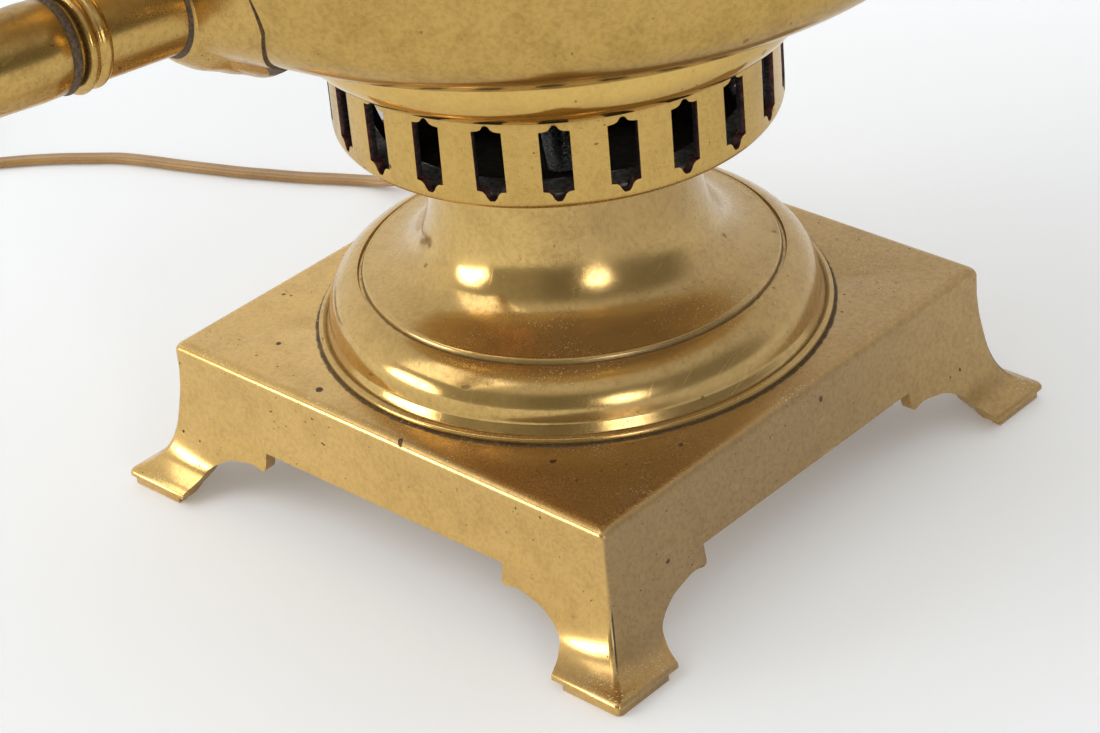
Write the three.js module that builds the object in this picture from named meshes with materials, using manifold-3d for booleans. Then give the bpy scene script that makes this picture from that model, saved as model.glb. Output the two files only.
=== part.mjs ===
// Table lamp built on a brass urn: square bracket-footed plinth, turned pedestal,
// pierced ring, urn body with tap and side handles, lamp fittings, shade and lead.
import * as THREE from 'three';
import { mergeVertices } from 'three/addons/utils/BufferGeometryUtils.js';
import Module from 'manifold-3d';

const wasm = await Module();
wasm.setup();

// Units and general clearances, millimetres
const GAP = 0.3;
const OVERRUN = 2;
const ROD_RADIUS = 5.15;
const ROD_BORE = 3.2;
const ROD_CLEARANCE = 0.35;
const ROD_HOLE = ROD_RADIUS + ROD_CLEARANCE;

// Plinth
const PLINTH_SIDE = 150;
const PLINTH_HEIGHT = 42;
const PLINTH_WALL = 3;
const PLINTH_TOP_ROUND = 3;
const PLINTH_CORNER_ROUND = 1.6;
const FLARE_HEIGHT = 34;
const FOOT_THROW = 12.2;
const FLARE_LIFT = 2.2;
const APRON_HEIGHT = 20.5;
const BRACKET_WIDTH = 33.3;
const FLARE_SHARES = [
  [0, 0.95], [0.041, 0.95], [0.046, 1], [0.09, 1], [0.12, 0.95], [0.15, 0.79], [0.18, 0.65],
  [0.22, 0.52], [0.3, 0.36], [0.4, 0.24], [0.56, 0.135], [0.82, 0.035], [1, 0],
];
const INNER_FLARE_SHARES = [0, 0.09, 0.18, 0.4, 1];
const BRACKET_SHARES = [
  [1, 1], [0.985, 0.84], [0.952, 0.7], [0.9, 0.725], [0.81, 0.73], [0.71, 0.715], [0.61, 0.685], [0.505, 0.6],
  [0.43, 0.52], [0.375, 0.44], [0.345, 0.35], [0.31, 0.265], [0.288, 0.21], [0.28, 0.07], [0.28, -0.1],
];
const QUARTER_SHARES = [0, 0.25, 0.5, 0.75, 1];
const CORNER_SHARES = [0, 0.5, 1];

// Pedestal
const PEDESTAL_FOOT_RADIUS = 67.5;
const PEDESTAL_HEIGHT = 59.4;
const PEDESTAL_WALL = 3;
const PEDESTAL_SHARES = [
  [0.996, 0], [1, 0.013], [0.996, 0.027], [0.982, 0.032], [0.964, 0.04], [0.954, 0.064],
  [0.943, 0.135], [0.917, 0.195], [0.876, 0.239], [0.84, 0.259], [0.826, 0.262], [0.82, 0.25],
  [0.81, 0.252], [0.806, 0.272], [0.796, 0.28], [0.711, 0.2997], [0.652, 0.33], [0.6, 0.379],
  [0.563, 0.446], [0.536, 0.53], [0.5185, 0.623], [0.504, 0.8], [0.498, 1],
];
const PEDESTAL_INNER_SHARES = [0, 0.4, 0.77, 0.88, 1];

// Pierced ring
const RING_RADIUS = 57.1;
const RING_HEIGHT = 26.6;
const RING_WALL = 2.4;
const RING_FLOOR = 2.4;
const RING_ROUND = 2.2;
const RING_LIP = 3.7;
const RING_LIP_HEIGHT = 5.2;
const WINDOW_COUNT = 22;
const WINDOW_WIDTH = 7.4;
const WINDOW_HEIGHT = 15.6;
const WINDOW_CENTRE = 13;
const WINDOW_HEAD = 1.8;
const WINDOW_SILL = 2.6;
const WINDOW_TURN_DEG = -47.6;
const WINDOW_HEAD_SHARES = [[1, 0], [0.5, 0.14], [0.16, 1]];
const WINDOW_SILL_SHARES = [[1, 0], [0.55, 0.16], [0.22, 1]];
const FLOOR_PLATE_THICK = 0.9;
const HEAT_DISC_RADIUS = 47.5;
const HEAT_DISC_THICK = 1.3;

// Urn body
const BODY_FOOT_HEIGHT = 15;
const BODY_RADIUS = 110.4;
const BODY_HEIGHT = 201.5;
const BODY_WALL = 1.8;
const BODY_FLOOR = 2.2;
const BODY_FOOT_SHARES = [
  [0.96, 0], [1.065, 0], [1.182, 0.173], [1.226, 0.24], [1.242, 0.347], [1.249, 0.8], [1.261, 1],
  [0.96, 1],
];
const BODY_SHARES = [
  [0.652, 0], [0.743, 0.0159], [0.815, 0.0328], [0.879, 0.0516], [0.906, 0.0615], [0.933, 0.0754],
  [0.956, 0.0943], [0.974, 0.1216], [0.986, 0.1538], [0.993, 0.1935], [0.998, 0.2581], [1, 0.3325],
  [1, 0.4615], [0.995, 0.5767], [0.98, 0.6476], [0.95, 0.7037], [0.905, 0.7484], [0.852, 0.7777],
  [0.838, 0.7886], [0.845, 0.8], [0.815, 0.8149], [0.745, 0.8432], [0.685, 0.8784], [0.64, 0.928],
  [0.668, 0.9663], [0.715, 0.9821], [0.728, 1],
];
const BODY_INNER_SHARES = [0.077, 0.192, 0.346, 0.462, 0.577, 0.654, 0.769, 0.885, 1];

// Lid, crown and riser
const LID_OVERHANG = 1;
const LID_HEIGHT = 18;
const LID_WALL = 1.8;
const LID_SHARES = [[0.99, 0], [1, 0.09], [0.975, 0.15], [0.89, 0.235], [0.76, 0.47], [0.6, 0.8], [0.39, 1]];
const LID_INNER_SHARES = [0, 0.5, 0.85];
const LID_KNOB_RADIUS = 7.5;
const LID_KNOB_HEIGHT = 21;
const LID_KNOB_REACH_SHARE = 0.7;
const LID_KNOB_LEVEL_SHARE = 0.66;
const LID_KNOB_SINK_SHARE = 0.3;
const LID_KNOB_SHARES = [[0.8, 0.04], [0.42, 0.16], [0.36, 0.34], [0.95, 0.6], [1, 0.74], [0.75, 0.93]];
const CROWN_RADIUS = 40;
const CROWN_HEIGHT = 48;
const CROWN_WALL = 2;
const CROWN_SHARES = [[0.77, 0], [0.79, 0.05], [0.48, 0.17], [0.37, 0.3], [0.345, 0.42], [0.4, 0.54],
  [0.58, 0.64], [0.8, 0.73], [0.95, 0.84], [1, 0.95], [0.98, 1]];
const CROWN_INNER_SHARES = [1, 0.8, 0.6];
const CAP_HEIGHT = 7;
const CAP_SHARES = [[0.985, 0], [1, 0.2], [0.93, 0.42], [0.7, 0.75], [0.36, 1]];
const RISER_RADIUS = 8.2;
const RISER_HEIGHT = 33;

// Base hardware
const NUT_RADIUS = 9.5;
const NUT_HEIGHT = 5.5;
const WASHER_RADIUS = 19;
const WASHER_THICK = 2.2;
const ROD_TAIL = 4;

// Tap
const TAP_HEADING_DEG = -97;
const TAP_TILT_DEG = 3;
const TAP_LEVEL_SHARE = 0.0963;
const TAP_RADIUS = 11;
const BOSS_START_SHARE = 0.779;
const BOSS_LENGTH = 24.6;
const BOSS_RADIUS = 21.5;
const BOSS_SHARES = [[0, 0.75], [0.12, 0.93], [0.25, 0.972], [0.4, 0.94], [0.606, 0.837], [0.772, 0.763],
  [0.894, 0.674], [0.976, 0.595], [1, 0.549]];
const TUBE_LENGTH = 20.7;
const COLLAR_LENGTH = 6.1;
const COLLAR_PROUD = 1.4;
const NECK_LENGTH = 3.5;
const TUBE_NECK = 9.8;
const SLEEVE_LENGTH = 39.1;
const SLEEVE_WALL = 1.6;
const BARREL_RADIUS = 13;
const BARREL_TOP = 22;
const BARREL_BOTTOM = 24;
const BARREL_BORE = 7.4;
const SPOUT_RADIUS = 7.5;
const SPOUT_RUN = 18.5;
const SPOUT_DROP = 33;
const KEY_CLEARANCE = 0.4;
const KEY_STEM = 5;
const KEY_HANDLE_HEIGHT = 34;
const KEY_HANDLE_WIDTH = 38;
const KEY_HANDLE_THICK = 5;
const KEY_COLLAR_HEIGHT = 3.2;
const KEY_WING_SHARES = [[0.22, 0], [0.3, 0.12], [0.62, 0.22], [0.9, 0.38], [1, 0.58], [0.92, 0.8], [0.7, 0.94],
  [0.42, 0.98], [0.2, 0.9], [0, 0.8]];
const KEY_EYE_SHARES = [0.25, 0.22, 0.52, 0.6];

// Side handles
const HANDLE_LEVEL_SHARE = 0.6898;
const HANDLE_ROOT_SHARE = 0.905;
const HANDLE_STANDOFF = 28.6;
const HANDLE_GRIP_LENGTH = 52;
const HANDLE_GRIP_RADIUS = 9.5;
const HANDLE_ARM_THICK = 5;
const HANDLE_ARM_EYE = 7.5;
const HANDLE_ARM_ROOT = 15;
const HANDLE_PLATE_THICK = 5;
const HANDLE_PIN_RADIUS = 2.6;
const HANDLE_KNOB_RADIUS = 6;
const HANDLE_KNOB_LENGTH = 7;
const HANDLE_ARM_SHARES = [[0, 1], [0.3, 0.9], [0.55, 0.68], [0.78, 0.52], [0.94, 0.5]];
const HANDLE_TIP_SHARES = [1, 0.6, 0.2, -0.2, -0.6, -1];
const GRIP_SHARES = [[0, 0.62], [0.07, 0.62], [0.12, 0.8], [0.35, 1], [0.65, 1], [0.88, 0.8], [0.93, 0.62],
  [1, 0.62]];

// Lamp fittings
const SADDLE_WIDTH = 54;
const SADDLE_DEPTH = 14;
const SADDLE_THICK = 2.4;
const SADDLE_EAR = 12;
const SOCKET_RADIUS = 17;
const SOCKET_CAP_HEIGHT = 20;
const SOCKET_SHELL_HEIGHT = 44;
const SOCKET_WALL = 1;
const SOCKET_CAP_SHARES = [[0.53, 0], [0.56, 0.12], [0.8, 0.24], [0.95, 0.44], [1, 0.7], [1, 1]];
const LINER_WALL = 1.4;
const LINER_RISE = 3;
const BULB_BASE_RADIUS = 13;
const BULB_BASE_HEIGHT = 26;
const BULB_BASE_SHARES = [[0.4, 0], [0.75, 0.16], [0.96, 0.24], [1, 0.5], [1, 1]];
const BULB_RADIUS = 30;
const BULB_HEIGHT = 80;
const BULB_SHARES = [[0.4, 0], [0.42, 0.06], [0.52, 0.2], [0.72, 0.36], [0.92, 0.5], [1, 0.63], [0.95, 0.78],
  [0.76, 0.91], [0.42, 0.98]];
const SWITCH_HEIGHT_SHARE = 0.3;
const SWITCH_LENGTH = 20;
const SWITCH_RADIUS = 2.4;
const SWITCH_KNOB_RADIUS = 6.5;
const SWITCH_KNOB_LENGTH = 9;
const SWITCH_BUSH_RADIUS = 4.6;
const SWITCH_BUSH_LENGTH = 6;
const SWITCH_WAIST_SHARE = 0.7;
const SWITCH_TURN_DEG = -45;
const HARP_WIRE = 1.7;
const HARP_HEIGHT = 214;
const HARP_WIDTH = 124;
const HARP_SHARES = [[0.416, 0], [0.416, 0.035], [0.416, 0.07], [0.43, 0.1], [0.52, 0.16], [0.76, 0.27], [0.94, 0.41],
  [1, 0.56], [0.93, 0.73], [0.72, 0.875], [0.4, 0.968], [0, 1]];
const FERRULE_RADIUS = 3.4;
const FERRULE_HEIGHT = 13;
const SEAT_POST_RADIUS = 5;
const SEAT_POST_HEIGHT = 6;
const STUD_RADIUS = 2.6;
const STUD_HEIGHT = 12;

// Shade
const SHADE_RADIUS = 210;
const SHADE_TOP_RADIUS = 112;
const SHADE_HEIGHT = 236;
const SHADE_WALL = 1.4;
const SHADE_FITTER_DROP = 14;
const SHADE_WIRE = 1.8;
const SPIDER_HUB_RADIUS = 12;
const SPIDER_HUB_THICK = 2.4;
const SPIDER_ARM_RADIUS = 1.7;
const SPIDER_ROOT_SHARE = 0.85;
const SPIDER_ARM_SHARES = [[0, 0], [0.3, 0], [0.62, 0.25], [1, 1]];
const SPIDER_ARMS = 3;
const FINIAL_RADIUS = 9;
const FINIAL_HEIGHT = 26;
const FINIAL_SHARES = [[0.7, 0], [0.75, 0.1], [0.45, 0.2], [0.4, 0.34], [0.85, 0.46], [1, 0.62], [0.85, 0.8],
  [0.4, 0.96]];

// Mains lead: a flat twin flex whose route points are chosen by hand
const CORD_WIDTH = 4.8;
const CORD_THICK = 2.4;
const BUSHING_PLACE = [-75, 62, 28];
const BUSHING_RADIUS = 4.6;
const BUSHING_FLANGE = 6.6;
const BUSHING_FLANGE_THICK = 1.8;
const BUSHING_NOSE = 20;
const BUSHING_NOSE_RADIUS = 3.3;
const BUSHING_INNER = 12;
const BUSHING_STANDOFF = 1.4;
const RUN_POINTS = [[-98.9, 62, 28], [-106, 62.3, 26.7], [-113.5, 63.8, 22.9], [-121, 66.1, 17],
  [-128.4, 68.5, 11.1], [-135.8, 70.2, 6.2], [-143.8, 70.7, 2.9], [-152.2, 68.9, 1.4], [-160.1, 65.1, 1.25],
  [-171.7, 58.9, 1.25], [-180.9, 54.7, 1.25], [-190.2, 50.5, 1.25], [-200, 46.7, 1.25], [-210, 42.9, 1.25],
  [-220.2, 39.3, 1.25], [-230, 35.2, 1.25], [-238.3, 29.7, 1.25], [-246.4, 24, 1.25], [-253.9, 17.8, 1.25],
  [-260.9, 11.1, 1.25], [-267.9, 3.9, 1.25], [-274.6, -3.7, 1.25], [-281, -11.2, 1.25], [-287.2, -18.5, 1.25]];
const RUN_STEPS = 26;
const COIL_START = [-290.6, -22.5, 1.25];
const COIL_HEADING_DEG = -130.4;
const COIL_TURNS = 8;
const COIL_INNER_RADIUS = 18.5;
const COIL_PITCH = 5.3;
const COIL_LAYER = 2.95;
const COIL_TUCK = 2.7;
const COIL_STEPS = 24;
const TUCK_HOLD_SHARE = 0.25;
const TUCK_END_SHARE = 0.47;
const CLIMB_SHARE = 0.5;
const TAIL_POINTS = [[-300, -33.5, 4.4], [-303.6, -37.4, 4.2], [-308.5, -42, 3.2], [-314.4, -46.2, 1.8],
  [-321.4, -49.6, 1.25], [-329.5, -51.4, 1.3], [-337.5, -52, 2.6], [-345, -52, 5.2], [-350.5, -52, 6.4]];
const TAIL_STEPS = 12;
const TIE_WIDTH = 4.5;
const TIE_WALL = 1.1;
const TIE_CLEARANCE = 0.35;
const TIE_TURN_DEG = 200;
const PLUG_LENGTH = 34;
const PLUG_WIDTH = 25;
const PLUG_THICK = 13;
const PLUG_NECK_SHARES = [[0, 0.3, 0.42], [0.1, 0.42, 0.56], [0.28, 0.8, 0.86], [0.45, 1, 1], [0.86, 1, 1], [1, 0.86, 0.8]];
const PLUG_ROUND_SHARE = 0.34;
const BLADE_LENGTH = 18;
const BLADE_WIDTH = 6.3;
const BLADE_THICK = 1.5;
const BLADE_SPACING = 12.7;

// Turned and swept faces
const WIRE_SIDES = 5;
const FLEX_FLATNESS = 1.6;
const CORD_SIDES = 6;
const FINE = 28;
const MIDDLE = 20;
const COARSE = 12;
const SMALL = 10;

// Derived levels
const plinthTop = PLINTH_HEIGHT;
const ringBottom = plinthTop + PEDESTAL_HEIGHT;
const ringTop = ringBottom + RING_HEIGHT;
const bodyBottom = ringTop + BODY_FOOT_HEIGHT;
const bodyTop = bodyBottom + BODY_HEIGHT;
const bodyRim = BODY_RADIUS * BODY_SHARES[BODY_SHARES.length - 1][0];
const handleLevel = bodyBottom + HANDLE_LEVEL_SHARE * BODY_HEIGHT;
const handleReach = BODY_RADIUS + HANDLE_STANDOFF;
const tapLevel = bodyBottom + TAP_LEVEL_SHARE * BODY_HEIGHT;
const bossStart = BODY_RADIUS * BOSS_START_SHARE;
const bossEnd = bossStart + BOSS_LENGTH;
const collarStart = bossEnd + TUBE_LENGTH;
const collarEnd = collarStart + COLLAR_LENGTH;
const sleeveStart = collarEnd + NECK_LENGTH;
const barrelReach = sleeveStart + SLEEVE_LENGTH;
const spoutReach = barrelReach + SPOUT_RUN;
const lidRadius = bodyRim + LID_OVERHANG;
const lidTop = bodyTop + LID_HEIGHT;
const crownTop = lidTop + CROWN_HEIGHT;
const capTop = crownTop + CAP_HEIGHT;
const riserTop = capTop + RISER_HEIGHT;
const socketBottom = riserTop + SADDLE_THICK;
const shellBottom = socketBottom + SOCKET_CAP_HEIGHT;
const shellTop = shellBottom + SOCKET_SHELL_HEIGHT;
const bulbSeat = shellTop + LINER_RISE - BULB_BASE_HEIGHT;
const switchTurn = THREE.MathUtils.degToRad(SWITCH_TURN_DEG);
const harpBottom = riserTop + SADDLE_EAR;
const harpTop = harpBottom + HARP_HEIGHT + HARP_WIRE;
const fitterLevel = harpTop + SEAT_POST_HEIGHT;
const shadeTop = fitterLevel + SHADE_FITTER_DROP;
const shadeBottom = shadeTop - SHADE_HEIGHT;

const materials = {
  brass: [0xb8904a, 0.28, 1],
  sooted: [0x2b2a2a, 0.8, 0.2],
  grey: [0x5b5c5d, 0.6, 0.6],
  steel: [0x6d6a66, 0.4, 1],
  wood: [0x3a2416, 0.5, 0],
  plastic: [0x1d1a18, 0.5, 0],
  card: [0xc9b48c, 0.9, 0],
  glass: [0xf2efe6, 0.2, 0],
  linen: [0xe9dfc8, 0.9, 0],
  cord: [0xb98b45, 0.35, 0],
};

const root = new THREE.Group();

function finish(name) {
  const [color, roughness, metalness] = materials[name];
  return new THREE.MeshStandardMaterial({ color, roughness, metalness });
}

// One closed body with shared corners and outward faces
function closeBody(geometry) {
  const bare = geometry.clone();
  bare.deleteAttribute('normal');
  bare.deleteAttribute('uv');
  const merged = mergeVertices(bare, 1e-4);
  const index = merged.index.array;
  const position = merged.attributes.position;
  const kept = [];
  let volume = 0;
  const a = new THREE.Vector3();
  const b = new THREE.Vector3();
  const c = new THREE.Vector3();
  for (let i = 0; i < index.length; i += 3) {
    const [p, q, r] = [index[i], index[i + 1], index[i + 2]];
    if (p === q || q === r || p === r) continue;
    kept.push(p, q, r);
    a.fromBufferAttribute(position, p);
    b.fromBufferAttribute(position, q);
    c.fromBufferAttribute(position, r);
    volume += a.dot(b.cross(c));
  }
  if (volume < 0) {
    for (let i = 0; i < kept.length; i += 3) [kept[i], kept[i + 1]] = [kept[i + 1], kept[i]];
  }
  merged.setIndex(kept);
  return merged;
}

function toSolid(geometry) {
  const closed = closeBody(geometry);
  return new wasm.Manifold(new wasm.Mesh({
    numProp: 3,
    vertProperties: new Float32Array(closed.attributes.position.array),
    triVerts: new Uint32Array(closed.index.array),
  }));
}

function fromSolid(solid) {
  const mesh = solid.getMesh();
  const geometry = new THREE.BufferGeometry();
  geometry.setAttribute('position', new THREE.BufferAttribute(new Float32Array(mesh.vertProperties), 3));
  geometry.setIndex(Array.from(mesh.triVerts));
  return geometry;
}

function join(first, ...rest) {
  return fromSolid(rest.reduce((whole, part) => whole.add(toSolid(part)), toSolid(first)));
}

function cut(first, ...rest) {
  return fromSolid(rest.reduce((whole, part) => whole.subtract(toSolid(part)), toSolid(first)));
}

function add(name, geometry, finishName, parent = root) {
  const mesh = new THREE.Mesh(closeBody(geometry), finish(finishName));
  mesh.name = name;
  parent.add(mesh);
  return mesh;
}

// Profiles are [radius, height] pairs, turned about Z
function turn(profile, segments) {
  const points = profile.map(([r, z]) => new THREE.Vector2(r, z));
  return closeBody(new THREE.LatheGeometry(points, segments).rotateX(Math.PI / 2));
}

function scaled(shares, radius, height, base = 0) {
  return shares.map(([r, z]) => [r * radius, base + z * height]);
}

// The inside of a turned wall: outer points at these shares moved square to the profile
function insideOf(outer, shares, wall) {
  return shares.map((share) => {
    const i = Math.min(Math.round(share * (outer.length - 1)), outer.length - 1);
    const before = outer[Math.max(i - 1, 0)];
    const after = outer[Math.min(i + 1, outer.length - 1)];
    const run = [after[0] - before[0], after[1] - before[1]];
    const length = Math.hypot(...run);
    return [outer[i][0] - (wall * run[1]) / length, outer[i][1] + (wall * run[0]) / length];
  });
}

function loop(points) {
  return [...points, points[0]];
}

function disc(inner, outer, bottom, thick, segments) {
  return turn(loop([[inner, bottom], [outer, bottom], [outer, bottom + thick], [inner, bottom + thick]]), segments);
}

function shapeOf(points) {
  return new THREE.Shape(points.map(([x, y]) => new THREE.Vector2(x, y)));
}

function slab(points, depth) {
  return new THREE.ExtrudeGeometry(shapeOf(points), { depth, bevelEnabled: false, curveSegments: COARSE });
}

// Stacked closed outlines of equal length become one body
function loft(sections) {
  const count = sections[0].length;
  const points = sections.flat();
  const faces = [];
  for (let level = 0; level + 1 < sections.length; level += 1) {
    for (let i = 0; i < count; i += 1) {
      const a = level * count + i;
      const b = level * count + ((i + 1) % count);
      faces.push(a, b, b + count, a, b + count, a + count);
    }
  }
  const flat = sections[0].map(([x, y]) => new THREE.Vector2(x, y));
  const top = (sections.length - 1) * count;
  for (const [a, b, c] of THREE.ShapeUtils.triangulateShape(flat, [])) {
    faces.push(a, c, b, top + a, top + b, top + c);
  }
  const geometry = new THREE.BufferGeometry();
  geometry.setAttribute('position', new THREE.Float32BufferAttribute(points.flat(), 3));
  geometry.setIndex(faces);
  return closeBody(geometry);
}

// Plinth: flared box shell with a bracket foot at each corner
function squareSection(half, round, z) {
  const section = [];
  for (let corner = 0; corner < 4; corner += 1) {
    const turnAngle = (corner * Math.PI) / 2;
    for (const share of CORNER_SHARES) {
      const angle = turnAngle + (share * Math.PI) / 2;
      const cx = (half - round) * Math.SQRT2 * Math.cos(turnAngle + Math.PI / 4);
      const cy = (half - round) * Math.SQRT2 * Math.sin(turnAngle + Math.PI / 4);
      section.push([cx + round * Math.cos(angle), cy + round * Math.sin(angle), z]);
    }
  }
  return section;
}

function flareAt(z) {
  const share = z / FLARE_HEIGHT;
  if (share >= 1) return 0;
  const upper = FLARE_SHARES.findIndex(([level]) => level > share);
  const [z0, e0] = FLARE_SHARES[upper - 1];
  const [z1, e1] = FLARE_SHARES[upper];
  return FOOT_THROW * (e0 + ((e1 - e0) * (share - z0)) / (z1 - z0));
}

function plinthGeometry() {
  const half = PLINTH_SIDE / 2;
  const outer = FLARE_SHARES.map(([z, e]) => (
    squareSection(half + e * FOOT_THROW, PLINTH_CORNER_ROUND, z * FLARE_HEIGHT)));
  for (const share of QUARTER_SHARES) {
    const angle = (share * Math.PI) / 2;
    const inset = PLINTH_TOP_ROUND * (1 - Math.cos(angle));
    const level = PLINTH_HEIGHT - PLINTH_TOP_ROUND * (1 - Math.sin(angle));
    outer.push(squareSection(half - inset, PLINTH_CORNER_ROUND, level));
  }
  const innerRound = PLINTH_CORNER_ROUND / 2;
  const inner = INNER_FLARE_SHARES.map((share) => {
    const level = share * FLARE_HEIGHT;
    return squareSection(half + flareAt(level + FLARE_LIFT) - PLINTH_WALL, innerRound, level);
  });
  inner[0] = inner[0].map(([x, y]) => [x, y, -OVERRUN]);
  inner.push(squareSection(half - PLINTH_WALL, innerRound, PLINTH_HEIGHT - PLINTH_WALL));
  const right = BRACKET_SHARES.map(([u, z]) => [half - u * BRACKET_WIDTH, z * APRON_HEIGHT]);
  const left = right.map(([x, z]) => [-x, z]).reverse();
  const span = PLINTH_SIDE + 2 * (FOOT_THROW + OVERRUN);
  const opening = slab([...right, ...left], span).translate(0, 0, -span / 2).rotateX(Math.PI / 2);
  const crossOpening = opening.clone().rotateZ(Math.PI / 2);
  const hole = new THREE.CylinderGeometry(ROD_HOLE, ROD_HOLE, PLINTH_HEIGHT, SMALL).rotateX(Math.PI / 2);
  hole.translate(0, 0, PLINTH_HEIGHT);
  const cordHole = new THREE.CylinderGeometry(
    BUSHING_RADIUS + GAP, BUSHING_RADIUS + GAP, PLINTH_WALL * 4, SMALL).rotateZ(Math.PI / 2);
  cordHole.translate(...BUSHING_PLACE);
  return cut(loft(outer), loft(inner), opening, crossOpening, hole, cordHole);
}

// Pedestal: foot lip, quarter-round moulding and trumpet, hollow below
function pedestalGeometry() {
  const outer = scaled(PEDESTAL_SHARES, PEDESTAL_FOOT_RADIUS, PEDESTAL_HEIGHT, plinthTop);
  const inner = insideOf(outer, PEDESTAL_INNER_SHARES, PEDESTAL_WALL);
  inner[0][1] = plinthTop;
  inner[inner.length - 1][1] = ringBottom;
  return turn(loop([...outer, ...inner.reverse()]), FINE);
}

// Pierced ring: rounded cup with shaped windows cut through its wall
function windowOutline() {
  const half = WINDOW_WIDTH / 2;
  const corner = WINDOW_HEIGHT / 2;
  const head = WINDOW_HEAD_SHARES.map(([x, z]) => [x * half, corner + z * WINDOW_HEAD]);
  const sill = WINDOW_SILL_SHARES.map(([x, z]) => [-x * half, -corner - z * WINDOW_SILL]);
  const mirror = ([x, z]) => [-x, z];
  return [...head, ...head.map(mirror).reverse(), ...sill, ...sill.map(mirror).reverse()];
}

function ringGeometry() {
  const outer = [[ROD_HOLE, ringBottom]];
  for (const share of CORNER_SHARES) {
    const angle = (share * Math.PI) / 2;
    outer.push([
      RING_RADIUS - RING_ROUND * (1 - Math.sin(angle)),
      ringBottom + RING_ROUND * (1 - Math.cos(angle)),
    ]);
  }
  for (const share of CORNER_SHARES) {
    const angle = (share * Math.PI) / 2;
    outer.push([
      RING_RADIUS + RING_LIP * (1 - Math.cos(angle)),
      ringTop - RING_LIP_HEIGHT * (1 - Math.sin(angle)),
    ]);
  }
  const inside = RING_RADIUS - RING_WALL;
  const inner = [
    [inside, ringTop],
    [inside, ringBottom + RING_FLOOR],
    [ROD_HOLE, ringBottom + RING_FLOOR],
  ];
  const cup = turn(loop([...outer, ...inner]), WINDOW_COUNT * 2);
  cup.rotateZ(THREE.MathUtils.degToRad(WINDOW_TURN_DEG));
  const depth = RING_WALL * 4;
  const cutter = slab(windowOutline(), depth).rotateX(Math.PI / 2).rotateZ(Math.PI / 2);
  cutter.translate(inside - RING_WALL, 0, ringBottom + WINDOW_CENTRE);
  const cutters = [];
  for (let i = 0; i < WINDOW_COUNT; i += 1) {
    const angle = THREE.MathUtils.degToRad(WINDOW_TURN_DEG + (i * 360) / WINDOW_COUNT);
    cutters.push(cutter.clone().rotateZ(angle));
  }
  return cut(cup, ...cutters);
}

// Urn body
function bodyOuter(grow = 0) {
  return scaled(BODY_SHARES, BODY_RADIUS, BODY_HEIGHT, bodyBottom).map(([r, z]) => [r + grow, z]);
}

function bodyGeometry() {
  const outer = bodyOuter();
  const inner = insideOf(outer, BODY_INNER_SHARES, BODY_WALL);
  inner[inner.length - 1][1] = bodyTop;
  const floorEdge = outer[0][0] - BODY_WALL;
  const floor = [[floorEdge, bodyBottom + BODY_FLOOR], [ROD_HOLE, bodyBottom + BODY_FLOOR], [ROD_HOLE, bodyBottom]];
  return turn(loop([...outer, ...inner.reverse(), ...floor]), FINE);
}

function bodyCutter(grow) {
  const outer = bodyOuter(grow);
  return turn([[0, bodyBottom], ...outer, [0, bodyTop]], FINE);
}

// Tap pieces are turned about X, then headed out of the body
const tapFrame = new THREE.Matrix4()
  .makeRotationZ(THREE.MathUtils.degToRad(TAP_HEADING_DEG))
  .multiply(new THREE.Matrix4().makeRotationY(-THREE.MathUtils.degToRad(TAP_TILT_DEG)))
  .setPosition(0, 0, tapLevel);

function alongX(profile, segments) {
  return turn(profile.map(([x, r]) => [r, x]), segments).rotateY(Math.PI / 2);
}

function bossGeometry() {
  const profile = BOSS_SHARES.map(([x, r]) => [bossStart + x * BOSS_LENGTH, r * BOSS_RADIUS]);
  const boss = alongX([[bossStart, 0], ...profile, [bossEnd, 0]], MIDDLE).applyMatrix4(tapFrame);
  return cut(boss, bodyCutter(GAP));
}

function tubeGeometry() {
  const bead = COLLAR_LENGTH / 5;
  const proud = TAP_RADIUS + COLLAR_PROUD;
  return alongX([
    [bossEnd, 0], [bossEnd, TAP_RADIUS], [collarStart, TAP_RADIUS],
    [collarStart + bead / 2, proud], [collarStart + bead, proud],
    [collarStart + bead * 1.5, proud - bead / 2], [collarEnd - bead * 1.5, proud - bead / 2],
    [collarEnd - bead, proud], [collarEnd - bead / 2, proud], [collarEnd, TAP_RADIUS],
    [collarEnd, TUBE_NECK], [sleeveStart - GAP / 2, TUBE_NECK], [sleeveStart - GAP / 2, 0],
  ], COARSE).applyMatrix4(tapFrame);
}

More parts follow.
